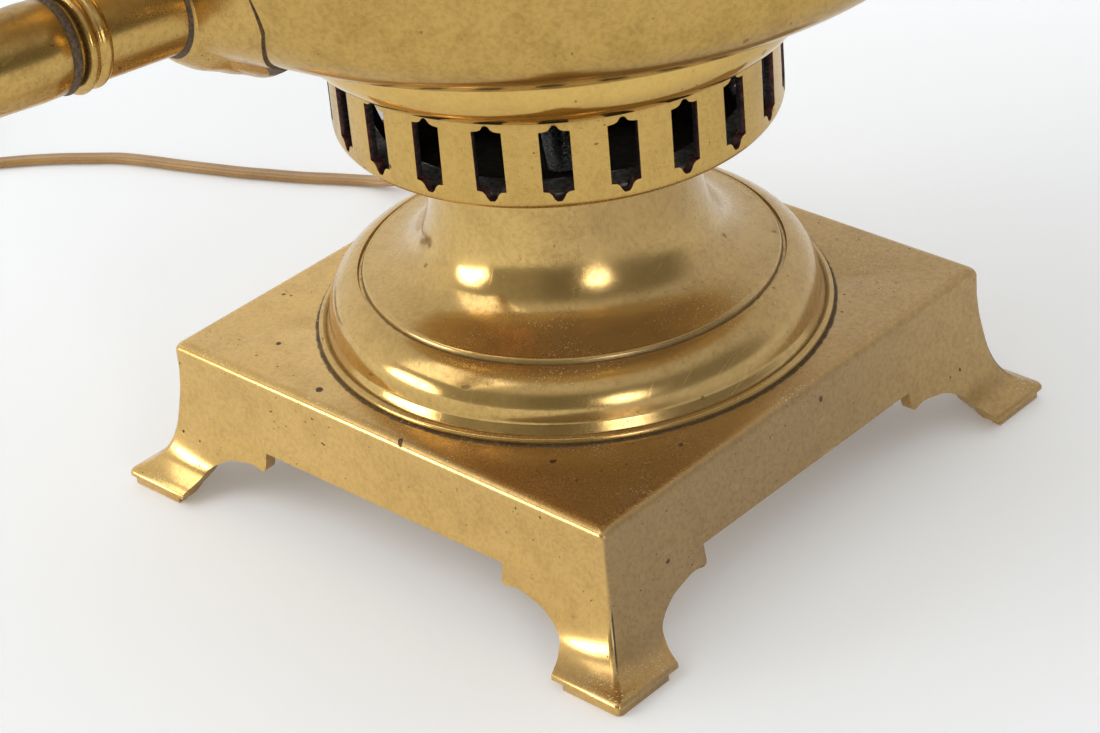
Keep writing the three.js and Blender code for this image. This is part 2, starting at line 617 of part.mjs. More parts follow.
function tapBodyGeometry() {
  const sleeve = alongX([
    [sleeveStart, 0], [sleeveStart, TAP_RADIUS], [sleeveStart + SLEEVE_WALL, TAP_RADIUS + SLEEVE_WALL / 4],
    [barrelReach - BARREL_RADIUS, TAP_RADIUS], [barrelReach, TAP_RADIUS - SLEEVE_WALL], [barrelReach, 0],
  ], COARSE);
  const rim = SLEEVE_WALL;
  const barrel = turn([
    [0, -BARREL_BOTTOM], [BARREL_RADIUS - rim, -BARREL_BOTTOM], [BARREL_RADIUS - rim, -BARREL_BOTTOM + rim],
    [BARREL_RADIUS, -BARREL_BOTTOM + rim * 2], [BARREL_RADIUS, BARREL_TOP - rim * 2],
    [BARREL_RADIUS + rim, BARREL_TOP - rim], [BARREL_RADIUS + rim, BARREL_TOP], [0, BARREL_TOP],
  ], COARSE).translate(barrelReach, 0, 0);
  const bend = new THREE.CatmullRomCurve3([
    new THREE.Vector3(barrelReach, 0, 0),
    new THREE.Vector3(barrelReach + BARREL_RADIUS, 0, -SLEEVE_WALL),
    new THREE.Vector3(spoutReach, 0, -BARREL_RADIUS),
    new THREE.Vector3(spoutReach, 0, -SPOUT_DROP),
  ]);
  const spout = new THREE.ExtrudeGeometry(circleShape(SPOUT_RADIUS, SMALL), {
    steps: SMALL, extrudePath: bend, bevelEnabled: false });
  const mouth = turn([[0, -SPOUT_DROP], [SPOUT_RADIUS + rim / 2, -SPOUT_DROP],
    [SPOUT_RADIUS + rim / 2, rim * 2 - SPOUT_DROP], [0, rim * 2 - SPOUT_DROP]], SMALL).translate(spoutReach, 0, 0);
  const bore = new THREE.CylinderGeometry(
    BARREL_BORE, BARREL_BORE, BARREL_TOP * 2, COARSE).rotateX(Math.PI / 2).translate(barrelReach, 0, BARREL_TOP);
  const mouthBore = new THREE.CylinderGeometry(
    SPOUT_RADIUS - rim, SPOUT_RADIUS - rim, SPOUT_DROP, SMALL).rotateX(Math.PI / 2);
  mouthBore.translate(spoutReach, 0, -SPOUT_DROP);
  return cut(join(sleeve, barrel, spout, mouth), bore, mouthBore).applyMatrix4(tapFrame);
}

function circleShape(radius, sides) {
  const points = [];
  for (let i = 0; i < sides; i += 1) {
    const angle = (i * 2 * Math.PI) / sides;
    points.push([radius * Math.cos(angle), radius * Math.sin(angle)]);
  }
  return shapeOf(points);
}

function keyGeometry() {
  const plug = BARREL_BORE - KEY_CLEARANCE;
  const seat = BARREL_TOP + GAP;
  const stem = turn([
    [0, GAP], [plug, GAP], [plug, seat], [BARREL_RADIUS, seat], [BARREL_RADIUS - KEY_CLEARANCE, seat + KEY_COLLAR_HEIGHT],
    [KEY_STEM, seat + KEY_COLLAR_HEIGHT * 2], [KEY_STEM, seat + KEY_COLLAR_HEIGHT * 4],
    [0, seat + KEY_COLLAR_HEIGHT * 4],
  ], COARSE);
  const base = seat + KEY_COLLAR_HEIGHT * 2;
  const half = KEY_HANDLE_WIDTH / 2;
  const right = KEY_WING_SHARES.map(([x, z]) => [x * half, base + z * KEY_HANDLE_HEIGHT]);
  const left = right.slice(0, -1).reverse().map(([x, z]) => [-x, z]);
  const wing = slab([...right, ...left], KEY_HANDLE_THICK).translate(0, 0, -KEY_HANDLE_THICK / 2);
  const eyes = [-1, 1].map((side) => {
    const eye = new THREE.CylinderGeometry(1, 1, KEY_HANDLE_THICK * 2, COARSE).rotateX(Math.PI / 2);
    eye.scale(half * KEY_EYE_SHARES[0], KEY_HANDLE_HEIGHT * KEY_EYE_SHARES[1], 1);
    return eye.translate(side * half * KEY_EYE_SHARES[2], base + KEY_HANDLE_HEIGHT * KEY_EYE_SHARES[3], 0);
  });
  const pierced = cut(wing, ...eyes).rotateX(Math.PI / 2).rotateZ(Math.PI / 2);
  return join(stem, pierced).translate(barrelReach, 0, 0).applyMatrix4(tapFrame);
}

// Side handles: a two-armed bracket holding a turned grip on a pin
function handleParts(side) {
  const heading = THREE.MathUtils.degToRad(TAP_HEADING_DEG + 90) + (side > 0 ? 0 : Math.PI);
  const place = (geometry) => geometry.rotateZ(heading).translate(0, 0, handleLevel);
  const armIn = BODY_RADIUS * HANDLE_ROOT_SHARE;
  const reach = handleReach - armIn;
  const upper = HANDLE_ARM_SHARES.map(([x, z]) => [armIn + x * reach, z * HANDLE_ARM_ROOT]);
  const lower = HANDLE_ARM_SHARES.map(([x, z]) => [armIn + x * reach, -z * HANDLE_ARM_ROOT]).reverse();
  const tip = HANDLE_TIP_SHARES.map((share) => {
    const angle = (share * Math.PI) / 2;
    return [handleReach + HANDLE_ARM_EYE * Math.cos(angle), HANDLE_ARM_EYE * Math.sin(angle)];
  });
  const armSlab = slab([...upper, ...tip, ...lower], HANDLE_ARM_THICK).rotateX(Math.PI / 2);
  const inset = HANDLE_GRIP_LENGTH / 2 + GAP;
  const arms = [inset + HANDLE_ARM_THICK, -inset].map((y) => armSlab.clone().translate(0, y, 0));
  const plateWidth = (inset + HANDLE_ARM_THICK) * 2;
  const plateReach = BODY_RADIUS + HANDLE_PLATE_THICK;
  const plate = new THREE.BoxGeometry(plateReach - armIn, plateWidth, HANDLE_ARM_ROOT * 1.4);
  plate.translate((plateReach + armIn) / 2, 0, 0);
  const pinHole = new THREE.CylinderGeometry(
    HANDLE_PIN_RADIUS + GAP, HANDLE_PIN_RADIUS + GAP, plateWidth * 2, SMALL).translate(handleReach, 0, 0);
  const bracket = cut(place(join(plate, ...arms)), place(pinHole), bodyCutter(GAP));
  const across = (profile, segments) => turn(profile, segments).rotateX(-Math.PI / 2).translate(handleReach, 0, 0);
  const gripLength = HANDLE_GRIP_LENGTH;
  const gripOuter = GRIP_SHARES.map(([z, r]) => [r * HANDLE_GRIP_RADIUS, (z - 0.5) * gripLength]);
  const bore = HANDLE_PIN_RADIUS + GAP;
  const grip = place(across(loop([...gripOuter, [bore, gripLength / 2], [bore, -gripLength / 2]]), COARSE));
  const end = inset + HANDLE_ARM_THICK + GAP;
  const knob = (sign) => [
    [HANDLE_PIN_RADIUS, sign * end], [HANDLE_KNOB_RADIUS, sign * end],
    [HANDLE_KNOB_RADIUS, sign * (end + HANDLE_KNOB_LENGTH / 2)], [0, sign * (end + HANDLE_KNOB_LENGTH)],
  ];
  const pin = place(across([...knob(-1).reverse(), ...knob(1)], SMALL));
  return { bracket, grip, pin };
}

// Harp and its saddle
function harpGeometry() {
  const half = HARP_WIDTH / 2;
  const right = HARP_SHARES.map(([x, z]) => new THREE.Vector3(x * half, 0, harpBottom + z * HARP_HEIGHT));
  const left = right.slice(0, -1).reverse().map((p) => new THREE.Vector3(-p.x, 0, p.z));
  const path = new THREE.CatmullRomCurve3([...right, ...left], false, 'centripetal');
  const wire = new THREE.ExtrudeGeometry(circleShape(HARP_WIRE, 6), {
    steps: FINE, extrudePath: path, bevelEnabled: false });
  const post = turn([
    [0, harpTop - HARP_WIRE * 2], [SEAT_POST_RADIUS, harpTop - HARP_WIRE * 2],
    [SEAT_POST_RADIUS, fitterLevel], [STUD_RADIUS, fitterLevel],
    [STUD_RADIUS, fitterLevel + SPIDER_HUB_THICK + STUD_HEIGHT], [0, fitterLevel + SPIDER_HUB_THICK + STUD_HEIGHT],
  ], SMALL);
  return join(wire, post);
}

function saddleGeometry() {
  const half = SADDLE_WIDTH / 2;
  const inner = half - SADDLE_THICK;
  const profile = [
    [-half, 0], [half, 0], [half, SADDLE_EAR - GAP], [inner, SADDLE_EAR - GAP], [inner, SADDLE_THICK],
    [-inner, SADDLE_THICK], [-inner, SADDLE_EAR - GAP], [-half, SADDLE_EAR - GAP],
  ];
  const strap = slab(profile, SADDLE_DEPTH).translate(0, 0, -SADDLE_DEPTH / 2).rotateX(Math.PI / 2);
  const hole = new THREE.CylinderGeometry(ROD_HOLE, ROD_HOLE, SADDLE_EAR * 2, SMALL).rotateX(Math.PI / 2);
  return cut(strap, hole).translate(0, 0, riserTop);
}

// Lamp socket, bulb and switch
function socketCapGeometry() {
  const cap = SOCKET_CAP_SHARES.map(([r, z]) => [r * SOCKET_RADIUS, socketBottom + z * SOCKET_CAP_HEIGHT]);
  return turn(loop([[ROD_HOLE, socketBottom], ...cap, [ROD_HOLE, shellBottom]]), COARSE);
}

function socketShellGeometry() {
  const inner = SOCKET_RADIUS - SOCKET_WALL;
  const shell = disc(inner, SOCKET_RADIUS, shellBottom, SOCKET_SHELL_HEIGHT, COARSE);
  const level = shellBottom + SWITCH_HEIGHT_SHARE * SOCKET_SHELL_HEIGHT;
  const bush = new THREE.CylinderGeometry(
    SWITCH_BUSH_RADIUS, SWITCH_BUSH_RADIUS, SWITCH_BUSH_LENGTH, SMALL).rotateZ(Math.PI / 2);
  bush.translate(inner + GAP + SWITCH_BUSH_LENGTH / 2, 0, level).rotateZ(switchTurn);
  const bore = new THREE.CylinderGeometry(
    SWITCH_RADIUS + KEY_CLEARANCE, SWITCH_RADIUS + KEY_CLEARANCE, SWITCH_LENGTH, SMALL).rotateZ(Math.PI / 2);
  bore.translate(inner + SWITCH_LENGTH / 2 - SOCKET_WALL, 0, level).rotateZ(switchTurn);
  return cut(join(shell, bush), bore);
}

function switchGeometry() {
  const start = SOCKET_RADIUS - SOCKET_WALL / 2;
  const knob = start + SWITCH_LENGTH - SWITCH_KNOB_LENGTH;
  const waist = SWITCH_KNOB_RADIUS * SWITCH_WAIST_SHARE;
  const level = shellBottom + SWITCH_HEIGHT_SHARE * SOCKET_SHELL_HEIGHT;
  return alongX([
    [start, 0], [start, SWITCH_RADIUS], [knob, SWITCH_RADIUS], [knob, waist],
    [knob + SWITCH_KNOB_LENGTH / 3, SWITCH_KNOB_RADIUS], [start + SWITCH_LENGTH, SWITCH_KNOB_RADIUS],
    [start + SWITCH_LENGTH, 0],
  ], SMALL).translate(0, 0, level).rotateZ(switchTurn);
}

function linerGeometry() {
  const outer = SOCKET_RADIUS - SOCKET_WALL - GAP;
  const inner = outer - LINER_WALL;
  return turn([
    [0, shellBottom], [outer, shellBottom], [outer, shellTop], [SOCKET_RADIUS, shellTop],
    [SOCKET_RADIUS, shellTop + LINER_RISE], [inner, shellTop + LINER_RISE], [inner, bulbSeat], [0, bulbSeat],
  ], COARSE);
}

function bulbBaseGeometry() {
  const base = BULB_BASE_SHARES.map(([r, z]) => [r * BULB_BASE_RADIUS, bulbSeat + z * BULB_BASE_HEIGHT]);
  return turn([[0, bulbSeat], ...base, [0, bulbSeat + BULB_BASE_HEIGHT]], COARSE);
}

function bulbGlassGeometry() {
  const bottom = bulbSeat + BULB_BASE_HEIGHT;
  return turn([[0, bottom], ...scaled(BULB_SHARES, BULB_RADIUS, BULB_HEIGHT, bottom), [0, bottom + BULB_HEIGHT]],
    COARSE);
}

// Shade, its wires and the finial that holds it
function shadeGeometry() {
  return turn(loop([
    [SHADE_RADIUS, shadeBottom], [SHADE_TOP_RADIUS, shadeTop], [SHADE_TOP_RADIUS - SHADE_WALL, shadeTop],
    [SHADE_RADIUS - SHADE_WALL, shadeBottom],
  ]), FINE);
}

function shadeRadiusAt(z) {
  return SHADE_RADIUS + ((SHADE_TOP_RADIUS - SHADE_RADIUS) * (z - shadeBottom)) / SHADE_HEIGHT;
}

function wireRing(level) {
  const radius = shadeRadiusAt(level) - SHADE_WALL - SHADE_WIRE - GAP * 2;
  const profile = [];
  for (let i = 0; i < WIRE_SIDES; i += 1) {
    const angle = (i * 2 * Math.PI) / WIRE_SIDES;
    profile.push([radius + SHADE_WIRE * Math.cos(angle), level + SHADE_WIRE * Math.sin(angle)]);
  }
  return { ring: turn(loop(profile), FINE), radius };
}

function spiderGeometry() {
  const level = shadeTop - SHADE_WIRE * 2;
  const { ring, radius } = wireRing(level);
  const hub = disc(STUD_RADIUS + GAP, SPIDER_HUB_RADIUS, fitterLevel, SPIDER_HUB_THICK, COARSE);
  const armLevel = fitterLevel + SPIDER_HUB_THICK / 2;
  const armRoot = SPIDER_HUB_RADIUS * SPIDER_ROOT_SHARE;
  const arms = [];
  for (let i = 0; i < SPIDER_ARMS; i += 1) {
    const path = new THREE.CatmullRomCurve3(SPIDER_ARM_SHARES.map(([r, z]) => new THREE.Vector3(
      armRoot + r * (radius - armRoot), 0, armLevel + z * (level - armLevel))));
    const arm = new THREE.ExtrudeGeometry(circleShape(SPIDER_ARM_RADIUS, 6), {
      steps: SMALL / 2, extrudePath: path, bevelEnabled: false });
    arms.push(arm.rotateZ(((i + 0.25) * 2 * Math.PI) / SPIDER_ARMS));
  }
  return join(ring, hub, ...arms);
}

function finialGeometry() {
  const bottom = fitterLevel + SPIDER_HUB_THICK;
  const bore = STUD_RADIUS + KEY_CLEARANCE;
  const depth = bottom + STUD_HEIGHT + GAP;
  return turn(loop([
    [bore, bottom], ...scaled(FINIAL_SHARES, FINIAL_RADIUS, FINIAL_HEIGHT, bottom),
    [0, bottom + FINIAL_HEIGHT], [0, depth], [bore, depth],
  ]), COARSE);
}

// Flat flex: its section stays level with the ground all along the route
class LevelPath extends THREE.Curve {
  constructor(points) {
    super();
    this.points = points;
  }

  getSpacedPoints() {
    return this.points;
  }

  computeFrenetFrames() {
    const up = new THREE.Vector3(0, 0, 1);
    const last = this.points.length - 1;
    const tangents = this.points.map((point, i) => new THREE.Vector3()
      .subVectors(this.points[Math.min(i + 1, last)], this.points[Math.max(i - 1, 0)]).normalize());
    const normals = tangents.map((tangent) => new THREE.Vector3().crossVectors(up, tangent).normalize());
    const binormals = tangents.map((tangent, i) => new THREE.Vector3().crossVectors(tangent, normals[i]));
    return { tangents, normals, binormals };
  }
}

function flexSection(sides) {
  const points = [];
  for (let i = 0; i < sides; i += 1) {
    const angle = ((i + 0.5) * 2 * Math.PI) / sides;
    const flat = Math.min(1, Math.abs(Math.sin(angle)) * FLEX_FLATNESS) * Math.sign(Math.sin(angle));
    points.push([Math.cos(angle) / Math.cos(Math.PI / sides), flat]);
  }
  return points.map(([x, y]) => [(x * CORD_WIDTH) / 2, (y * CORD_THICK) / 2]);
}

function flexTube(points, sides) {
  return new THREE.ExtrudeGeometry(shapeOf(flexSection(sides)), {
    steps: points.length - 1, extrudePath: new LevelPath(points), bevelEnabled: false });
}

function vector([x, y, z]) {
  return new THREE.Vector3(x, y, z);
}

function lengthOf(points) {
  return points.slice(1).reduce((sum, point, i) => sum + point.distanceTo(points[i]), 0);
}

const coilHeading = THREE.MathUtils.degToRad(COIL_HEADING_DEG);
const coilAhead = new THREE.Vector3(Math.cos(coilHeading), Math.sin(coilHeading), 0);
const coilOuter = COIL_INNER_RADIUS + (COIL_PITCH * COIL_TURNS) / 2;
const coilFirst = vector(COIL_START).addScaledVector(coilAhead, CORD_WIDTH);
const coilCentre = coilFirst.clone().add(
  new THREE.Vector3(coilAhead.y, -coilAhead.x, 0).multiplyScalar(coilOuter));

function easeShare(share) {
  return share <= 0 ? 0 : share >= 1 ? 1 : (1 - Math.cos(share * Math.PI)) / 2;
}

// Two layers of a spiral that runs in, climbs and runs out again
function coilPoints() {
  const points = [vector(COIL_START)];
  const middle = COIL_TURNS / 2;
  for (let i = 0; i <= COIL_TURNS * COIL_STEPS; i += 1) {
    const turns = i / COIL_STEPS;
    const away = Math.abs(turns - middle);
    const tuck = COIL_TUCK * easeShare((TUCK_END_SHARE - away) / (TUCK_END_SHARE - TUCK_HOLD_SHARE));
    const radius = COIL_INNER_RADIUS + COIL_PITCH * away - tuck;
    const angle = coilHeading + Math.PI / 2 - turns * 2 * Math.PI;
    const rise = COIL_LAYER * easeShare((turns - middle + CLIMB_SHARE / 2) / CLIMB_SHARE);
    points.push(new THREE.Vector3(
      coilCentre.x + radius * Math.cos(angle), coilCentre.y + radius * Math.sin(angle), coilFirst.z + rise));
  }
  points.push(points[points.length - 1].clone().addScaledVector(coilAhead, CORD_WIDTH));
  return points;
}

// Least clear space between loops, section against section
function coilGap(points) {
  let least = Infinity;
  for (let i = 0; i < points.length; i += 1) {
    for (let j = i + COIL_STEPS / 2; j < points.length; j += 1) {
      const flat = Math.hypot(points[i].x - points[j].x, points[i].y - points[j].y) - CORD_WIDTH;
      const tall = Math.abs(points[i].z - points[j].z) - CORD_THICK;
      const gap = flat > 0 && tall > 0 ? Math.hypot(flat, tall) : Math.max(flat, tall);
      least = Math.min(least, gap);
    }
  }
  return least;
}

function runPoints() {
  const end = vector(COIL_START).addScaledVector(coilAhead, -GAP);
  const path = new THREE.CatmullRomCurve3([...RUN_POINTS.map(vector), end], false, 'centripetal');
  return path.getSpacedPoints(RUN_STEPS);
}

function tailPoints(coil) {
  const start = coil[coil.length - 1].clone().addScaledVector(coilAhead, GAP);
  const path = new THREE.CatmullRomCurve3([start, ...TAIL_POINTS.map(vector)], false, 'centripetal');
  return path.getSpacedPoints(TAIL_STEPS);
}

function bushingGeometry() {
  const flange = BUSHING_STANDOFF + BUSHING_FLANGE_THICK;
  const bushing = alongX([
    [-BUSHING_INNER, 0], [-BUSHING_INNER, BUSHING_RADIUS], [BUSHING_STANDOFF, BUSHING_RADIUS],
    [BUSHING_STANDOFF, BUSHING_FLANGE], [flange, BUSHING_FLANGE], [flange, BUSHING_RADIUS],
    [flange + BUSHING_NOSE, BUSHING_NOSE_RADIUS], [flange + BUSHING_NOSE, 0],
  ], SMALL);
  return bushing.rotateZ(Math.PI).translate(...BUSHING_PLACE);
}

function tieGeometry(coil) {
  const inner = COIL_INNER_RADIUS - COIL_TUCK - CORD_WIDTH / 2 - TIE_CLEARANCE;
  const outer = coilOuter + CORD_WIDTH / 2 + TIE_CLEARANCE;
  const top = Math.max(...coil.map((point) => point.z)) + CORD_THICK / 2 + TIE_CLEARANCE;
  const floor = TIE_CLEARANCE / 2;
  const outline = [
    [inner - TIE_WALL, floor], [inner, floor], [inner, top], [outer, top], [outer, floor],
    [outer + TIE_WALL, floor], [outer + TIE_WALL, top + TIE_WALL], [inner - TIE_WALL, top + TIE_WALL],
  ];
  const tie = slab(outline, TIE_WIDTH).translate(0, 0, -TIE_WIDTH / 2).rotateX(Math.PI / 2);
  tie.rotateZ(THREE.MathUtils.degToRad(TIE_TURN_DEG));
  return tie.translate(coilCentre.x, coilCentre.y, 0);
}

// Plug with two flat blades
function roundedRectangle(width, height, share) {
  const corner = Math.min(width, height) * share;
  const points = [];
  for (let quarter = 0; quarter < 4; quarter += 1) {
    const sx = quarter === 0 || quarter === 3 ? 1 : -1;
    const sy = quarter < 2 ? 1 : -1;
    for (const step of CORNER_SHARES) {
      const angle = ((quarter + step) * Math.PI) / 2;
      points.push([sx * (width / 2 - corner) + corner * Math.cos(angle),
        sy * (height / 2 - corner) + corner * Math.sin(angle)]);
    }
  }
  return points;
}

function plugGeometry() {
  const sections = PLUG_NECK_SHARES.map(([along, wide, thick]) => (
    roundedRectangle(PLUG_WIDTH * wide, PLUG_THICK * thick, PLUG_ROUND_SHARE)
      .map(([x, y]) => [x, y, along * PLUG_LENGTH])));
  return loft(sections).rotateY(-Math.PI / 2).rotateX(Math.PI / 2);
}

function nutGeometry(bottom) {
  const outline = [];
  for (let i = 0; i < 6; i += 1) {
    const angle = (i * Math.PI) / 3;
    outline.push([NUT_RADIUS * Math.cos(angle), NUT_RADIUS * Math.sin(angle)]);
  }
  const hole = new THREE.CylinderGeometry(ROD_HOLE, ROD_HOLE, NUT_HEIGHT * 4, SMALL).rotateX(Math.PI / 2);
  return cut(slab(outline, NUT_HEIGHT), hole).translate(0, 0, bottom);
}

function buildBase() {
  const ceiling = PLINTH_HEIGHT - PLINTH_WALL;
  add('plinth', plinthGeometry(), 'brass');
  add('base_washer', disc(ROD_HOLE, WASHER_RADIUS, ceiling - WASHER_THICK, WASHER_THICK, COARSE), 'steel');
  add('base_nut', nutGeometry(ceiling - WASHER_THICK - NUT_HEIGHT), 'steel');
  add('pedestal', pedestalGeometry(), 'brass');
  add('vent_ring', ringGeometry(), 'brass');
  const floorLevel = ringBottom + RING_FLOOR;
  const plateRadius = RING_RADIUS - RING_WALL - KEY_CLEARANCE;
  add('ring_floor', disc(ROD_HOLE, plateRadius, floorLevel, FLOOR_PLATE_THICK, MIDDLE), 'grey');
  add('heat_disc', disc(ROD_HOLE, HEAT_DISC_RADIUS, floorLevel + FLOOR_PLATE_THICK, HEAT_DISC_THICK, MIDDLE), 'sooted');
  const rodBottom = ceiling - WASHER_THICK - NUT_HEIGHT - ROD_TAIL;
  const rodTop = socketBottom + SOCKET_CAP_HEIGHT / 2;
  add('threaded_rod', disc(ROD_BORE, ROD_RADIUS, rodBottom, rodTop - rodBottom, SMALL), 'sooted');
}

function buildUrn() {
  add('body_collar', turn(loop(scaled(BODY_FOOT_SHARES, RING_RADIUS, BODY_FOOT_HEIGHT, ringTop)), FINE), 'brass');
  add('urn_body', bodyGeometry(), 'brass');
  add('spigot_boss', bossGeometry(), 'brass');
  add('tap_tube', tubeGeometry(), 'brass');
  add('tap_body', tapBodyGeometry(), 'brass');
  add('tap_key', keyGeometry(), 'brass');
  for (const [label, side] of [['right', 1], ['left', -1]]) {
    const { bracket, grip, pin } = handleParts(side);
    add(`handle_bracket_${label}`, bracket, 'brass');
    add(`handle_grip_${label}`, grip, 'wood');
    add(`handle_pin_${label}`, pin, 'brass');
  }
}

function buildCrown() {
  const lidOuter = scaled(LID_SHARES, lidRadius, LID_HEIGHT, bodyTop);
  const lidInner = insideOf(lidOuter, LID_INNER_SHARES, LID_WALL);
  lidInner[0][1] = bodyTop;
  add('lid', turn(loop([
    ...lidOuter, [ROD_HOLE, lidTop], [ROD_HOLE, lidTop - LID_WALL], ...lidInner.reverse(),
  ]), FINE), 'brass');
  const lidCutter = turn([[0, bodyTop], ...lidOuter.map(([r, z]) => [r + GAP, z + GAP]), [0, lidTop + GAP]], FINE);
  const knobBase = LID_KNOB_HEIGHT * LID_KNOB_SINK_SHARE;
  for (const [label, side] of [['front', -1], ['back', 1]]) {
    const shares = [[0.75, -0.3], ...LID_KNOB_SHARES];
    const knob = turn([
      [0, -knobBase], ...scaled(shares, LID_KNOB_RADIUS, LID_KNOB_HEIGHT), [0, LID_KNOB_HEIGHT],
    ], COARSE);
    knob.translate(lidRadius * LID_KNOB_REACH_SHARE, 0, bodyTop + LID_HEIGHT * LID_KNOB_LEVEL_SHARE);
    knob.rotateZ(THREE.MathUtils.degToRad(TAP_HEADING_DEG + (side > 0 ? 180 : 0)));
    add(`lid_knob_${label}`, cut(knob, lidCutter), 'brass');
  }
  const crownOuter = scaled(CROWN_SHARES, CROWN_RADIUS, CROWN_HEIGHT, lidTop);
  const crownInner = insideOf(crownOuter, CROWN_INNER_SHARES, CROWN_WALL);
  crownInner[0][1] = crownTop;
  const crownFloor = crownInner[crownInner.length - 1][1];
  add('crown', turn(loop([
    [ROD_HOLE, lidTop], ...crownOuter, ...crownInner, [ROD_HOLE, crownFloor],
  ]), MIDDLE), 'brass');
  add('vase_cap', turn(loop([
    [ROD_HOLE, crownTop], ...scaled(CAP_SHARES, CROWN_RADIUS, CAP_HEIGHT, crownTop), [ROD_HOLE, capTop],
  ]), MIDDLE), 'brass');
  add('riser_tube', disc(ROD_HOLE, RISER_RADIUS, capTop, RISER_HEIGHT, COARSE), 'brass');
}

function buildLamp() {
  add('harp_saddle', saddleGeometry(), 'brass');
  add('socket_cap', socketCapGeometry(), 'brass');
  add('socket_shell', socketShellGeometry(), 'brass');
  add('socket_liner', linerGeometry(), 'plastic');
  add('switch_knob', switchGeometry(), 'plastic');
  add('bulb_base', bulbBaseGeometry(), 'steel');
  add('bulb_glass', bulbGlassGeometry(), 'glass');
  add('harp', harpGeometry(), 'brass');
  const wireReach = (HARP_SHARES[0][0] * HARP_WIDTH) / 2;
  for (const [label, side] of [['right', 1], ['left', -1]]) {
    const ferrule = disc(HARP_WIRE + KEY_CLEARANCE, FERRULE_RADIUS, harpBottom, FERRULE_HEIGHT, SMALL);
    add(`harp_ferrule_${label}`, ferrule.translate(side * wireReach, 0, 0), 'brass');
  }
  add('shade', shadeGeometry(), 'card');
  add('shade_bottom_wire', wireRing(shadeBottom + SHADE_WIRE * 2).ring, 'steel');
  add('shade_spider', spiderGeometry(), 'steel');
  add('finial', finialGeometry(), 'brass');
}

function buildLead() {
  const coil = coilPoints();
  const run = runPoints();
  const tail = tailPoints(coil);
  add('cord_bushing', bushingGeometry(), 'plastic');
  add('cord_run', flexTube(run, CORD_SIDES), 'cord');
  add('cord_coil', flexTube(coil, CORD_SIDES), 'cord');
  add('cord_tail', flexTube(tail, CORD_SIDES), 'cord');
  add('coil_tie', tieGeometry(coil), 'plastic');
  const [x, y, z] = TAIL_POINTS[TAIL_POINTS.length - 1];
  add('plug_body', plugGeometry().translate(x - GAP, y, z), 'plastic');
  for (const [label, side] of [['a', 1], ['b', -1]]) {
    const blade = new THREE.BoxGeometry(BLADE_LENGTH, BLADE_THICK, BLADE_WIDTH);
    blade.translate(x - GAP * 2 - PLUG_LENGTH - BLADE_LENGTH / 2, y + (side * BLADE_SPACING) / 2, z);
    add(`plug_blade_${label}`, blade, 'brass');
  }
  console.log('least gap between coil loops, mm', coilGap(coil).toFixed(2));
  console.log('lead length, mm', (lengthOf(run) + lengthOf(coil) + lengthOf(tail)).toFixed(0));
  console.log('run, coil, tail, mm', lengthOf(run).toFixed(1), lengthOf(coil).toFixed(1), lengthOf(tail).toFixed(1));
}

buildBase();
buildUrn();
buildCrown();
buildLamp();
buildLead();

export default root;
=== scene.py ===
"""Looks of the urn table lamp: finishes, fine shapes, lead, studio and camera."""

import logging
import math
import random
from dataclasses import dataclass
from enum import Enum
from typing import Callable, Iterable, NamedTuple, Sequence

import bmesh
import bpy
from mathutils import Matrix, Vector


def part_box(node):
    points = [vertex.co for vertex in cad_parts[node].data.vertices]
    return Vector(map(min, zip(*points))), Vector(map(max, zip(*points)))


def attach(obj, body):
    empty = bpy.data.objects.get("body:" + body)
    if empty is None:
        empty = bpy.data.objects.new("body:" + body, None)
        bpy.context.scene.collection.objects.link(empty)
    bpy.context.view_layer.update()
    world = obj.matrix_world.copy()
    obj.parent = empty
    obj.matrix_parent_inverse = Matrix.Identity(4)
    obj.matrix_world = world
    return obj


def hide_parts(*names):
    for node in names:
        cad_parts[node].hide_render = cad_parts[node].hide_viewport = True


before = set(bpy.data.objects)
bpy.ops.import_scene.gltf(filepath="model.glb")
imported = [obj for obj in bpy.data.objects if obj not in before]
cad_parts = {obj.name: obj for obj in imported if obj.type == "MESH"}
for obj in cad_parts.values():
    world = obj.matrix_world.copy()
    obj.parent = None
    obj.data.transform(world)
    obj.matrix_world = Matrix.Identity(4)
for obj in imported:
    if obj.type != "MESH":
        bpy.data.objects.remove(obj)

LOG = logging.getLogger("urn_lamp")
MM = 0.001
Pair = tuple[float, float]
Triple = tuple[float, float, float]
Color = tuple[float, float, float]
Socket = bpy.types.NodeSocket
Piece = bpy.types.Object
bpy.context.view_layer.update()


class Body(Enum):
    """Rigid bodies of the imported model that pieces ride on."""

    LAMP = "lamp"
    TAP = "tap_plug"
    SWITCH = "switch"
    SHADE = "shade_group"
    FINIAL = "finial_nut"


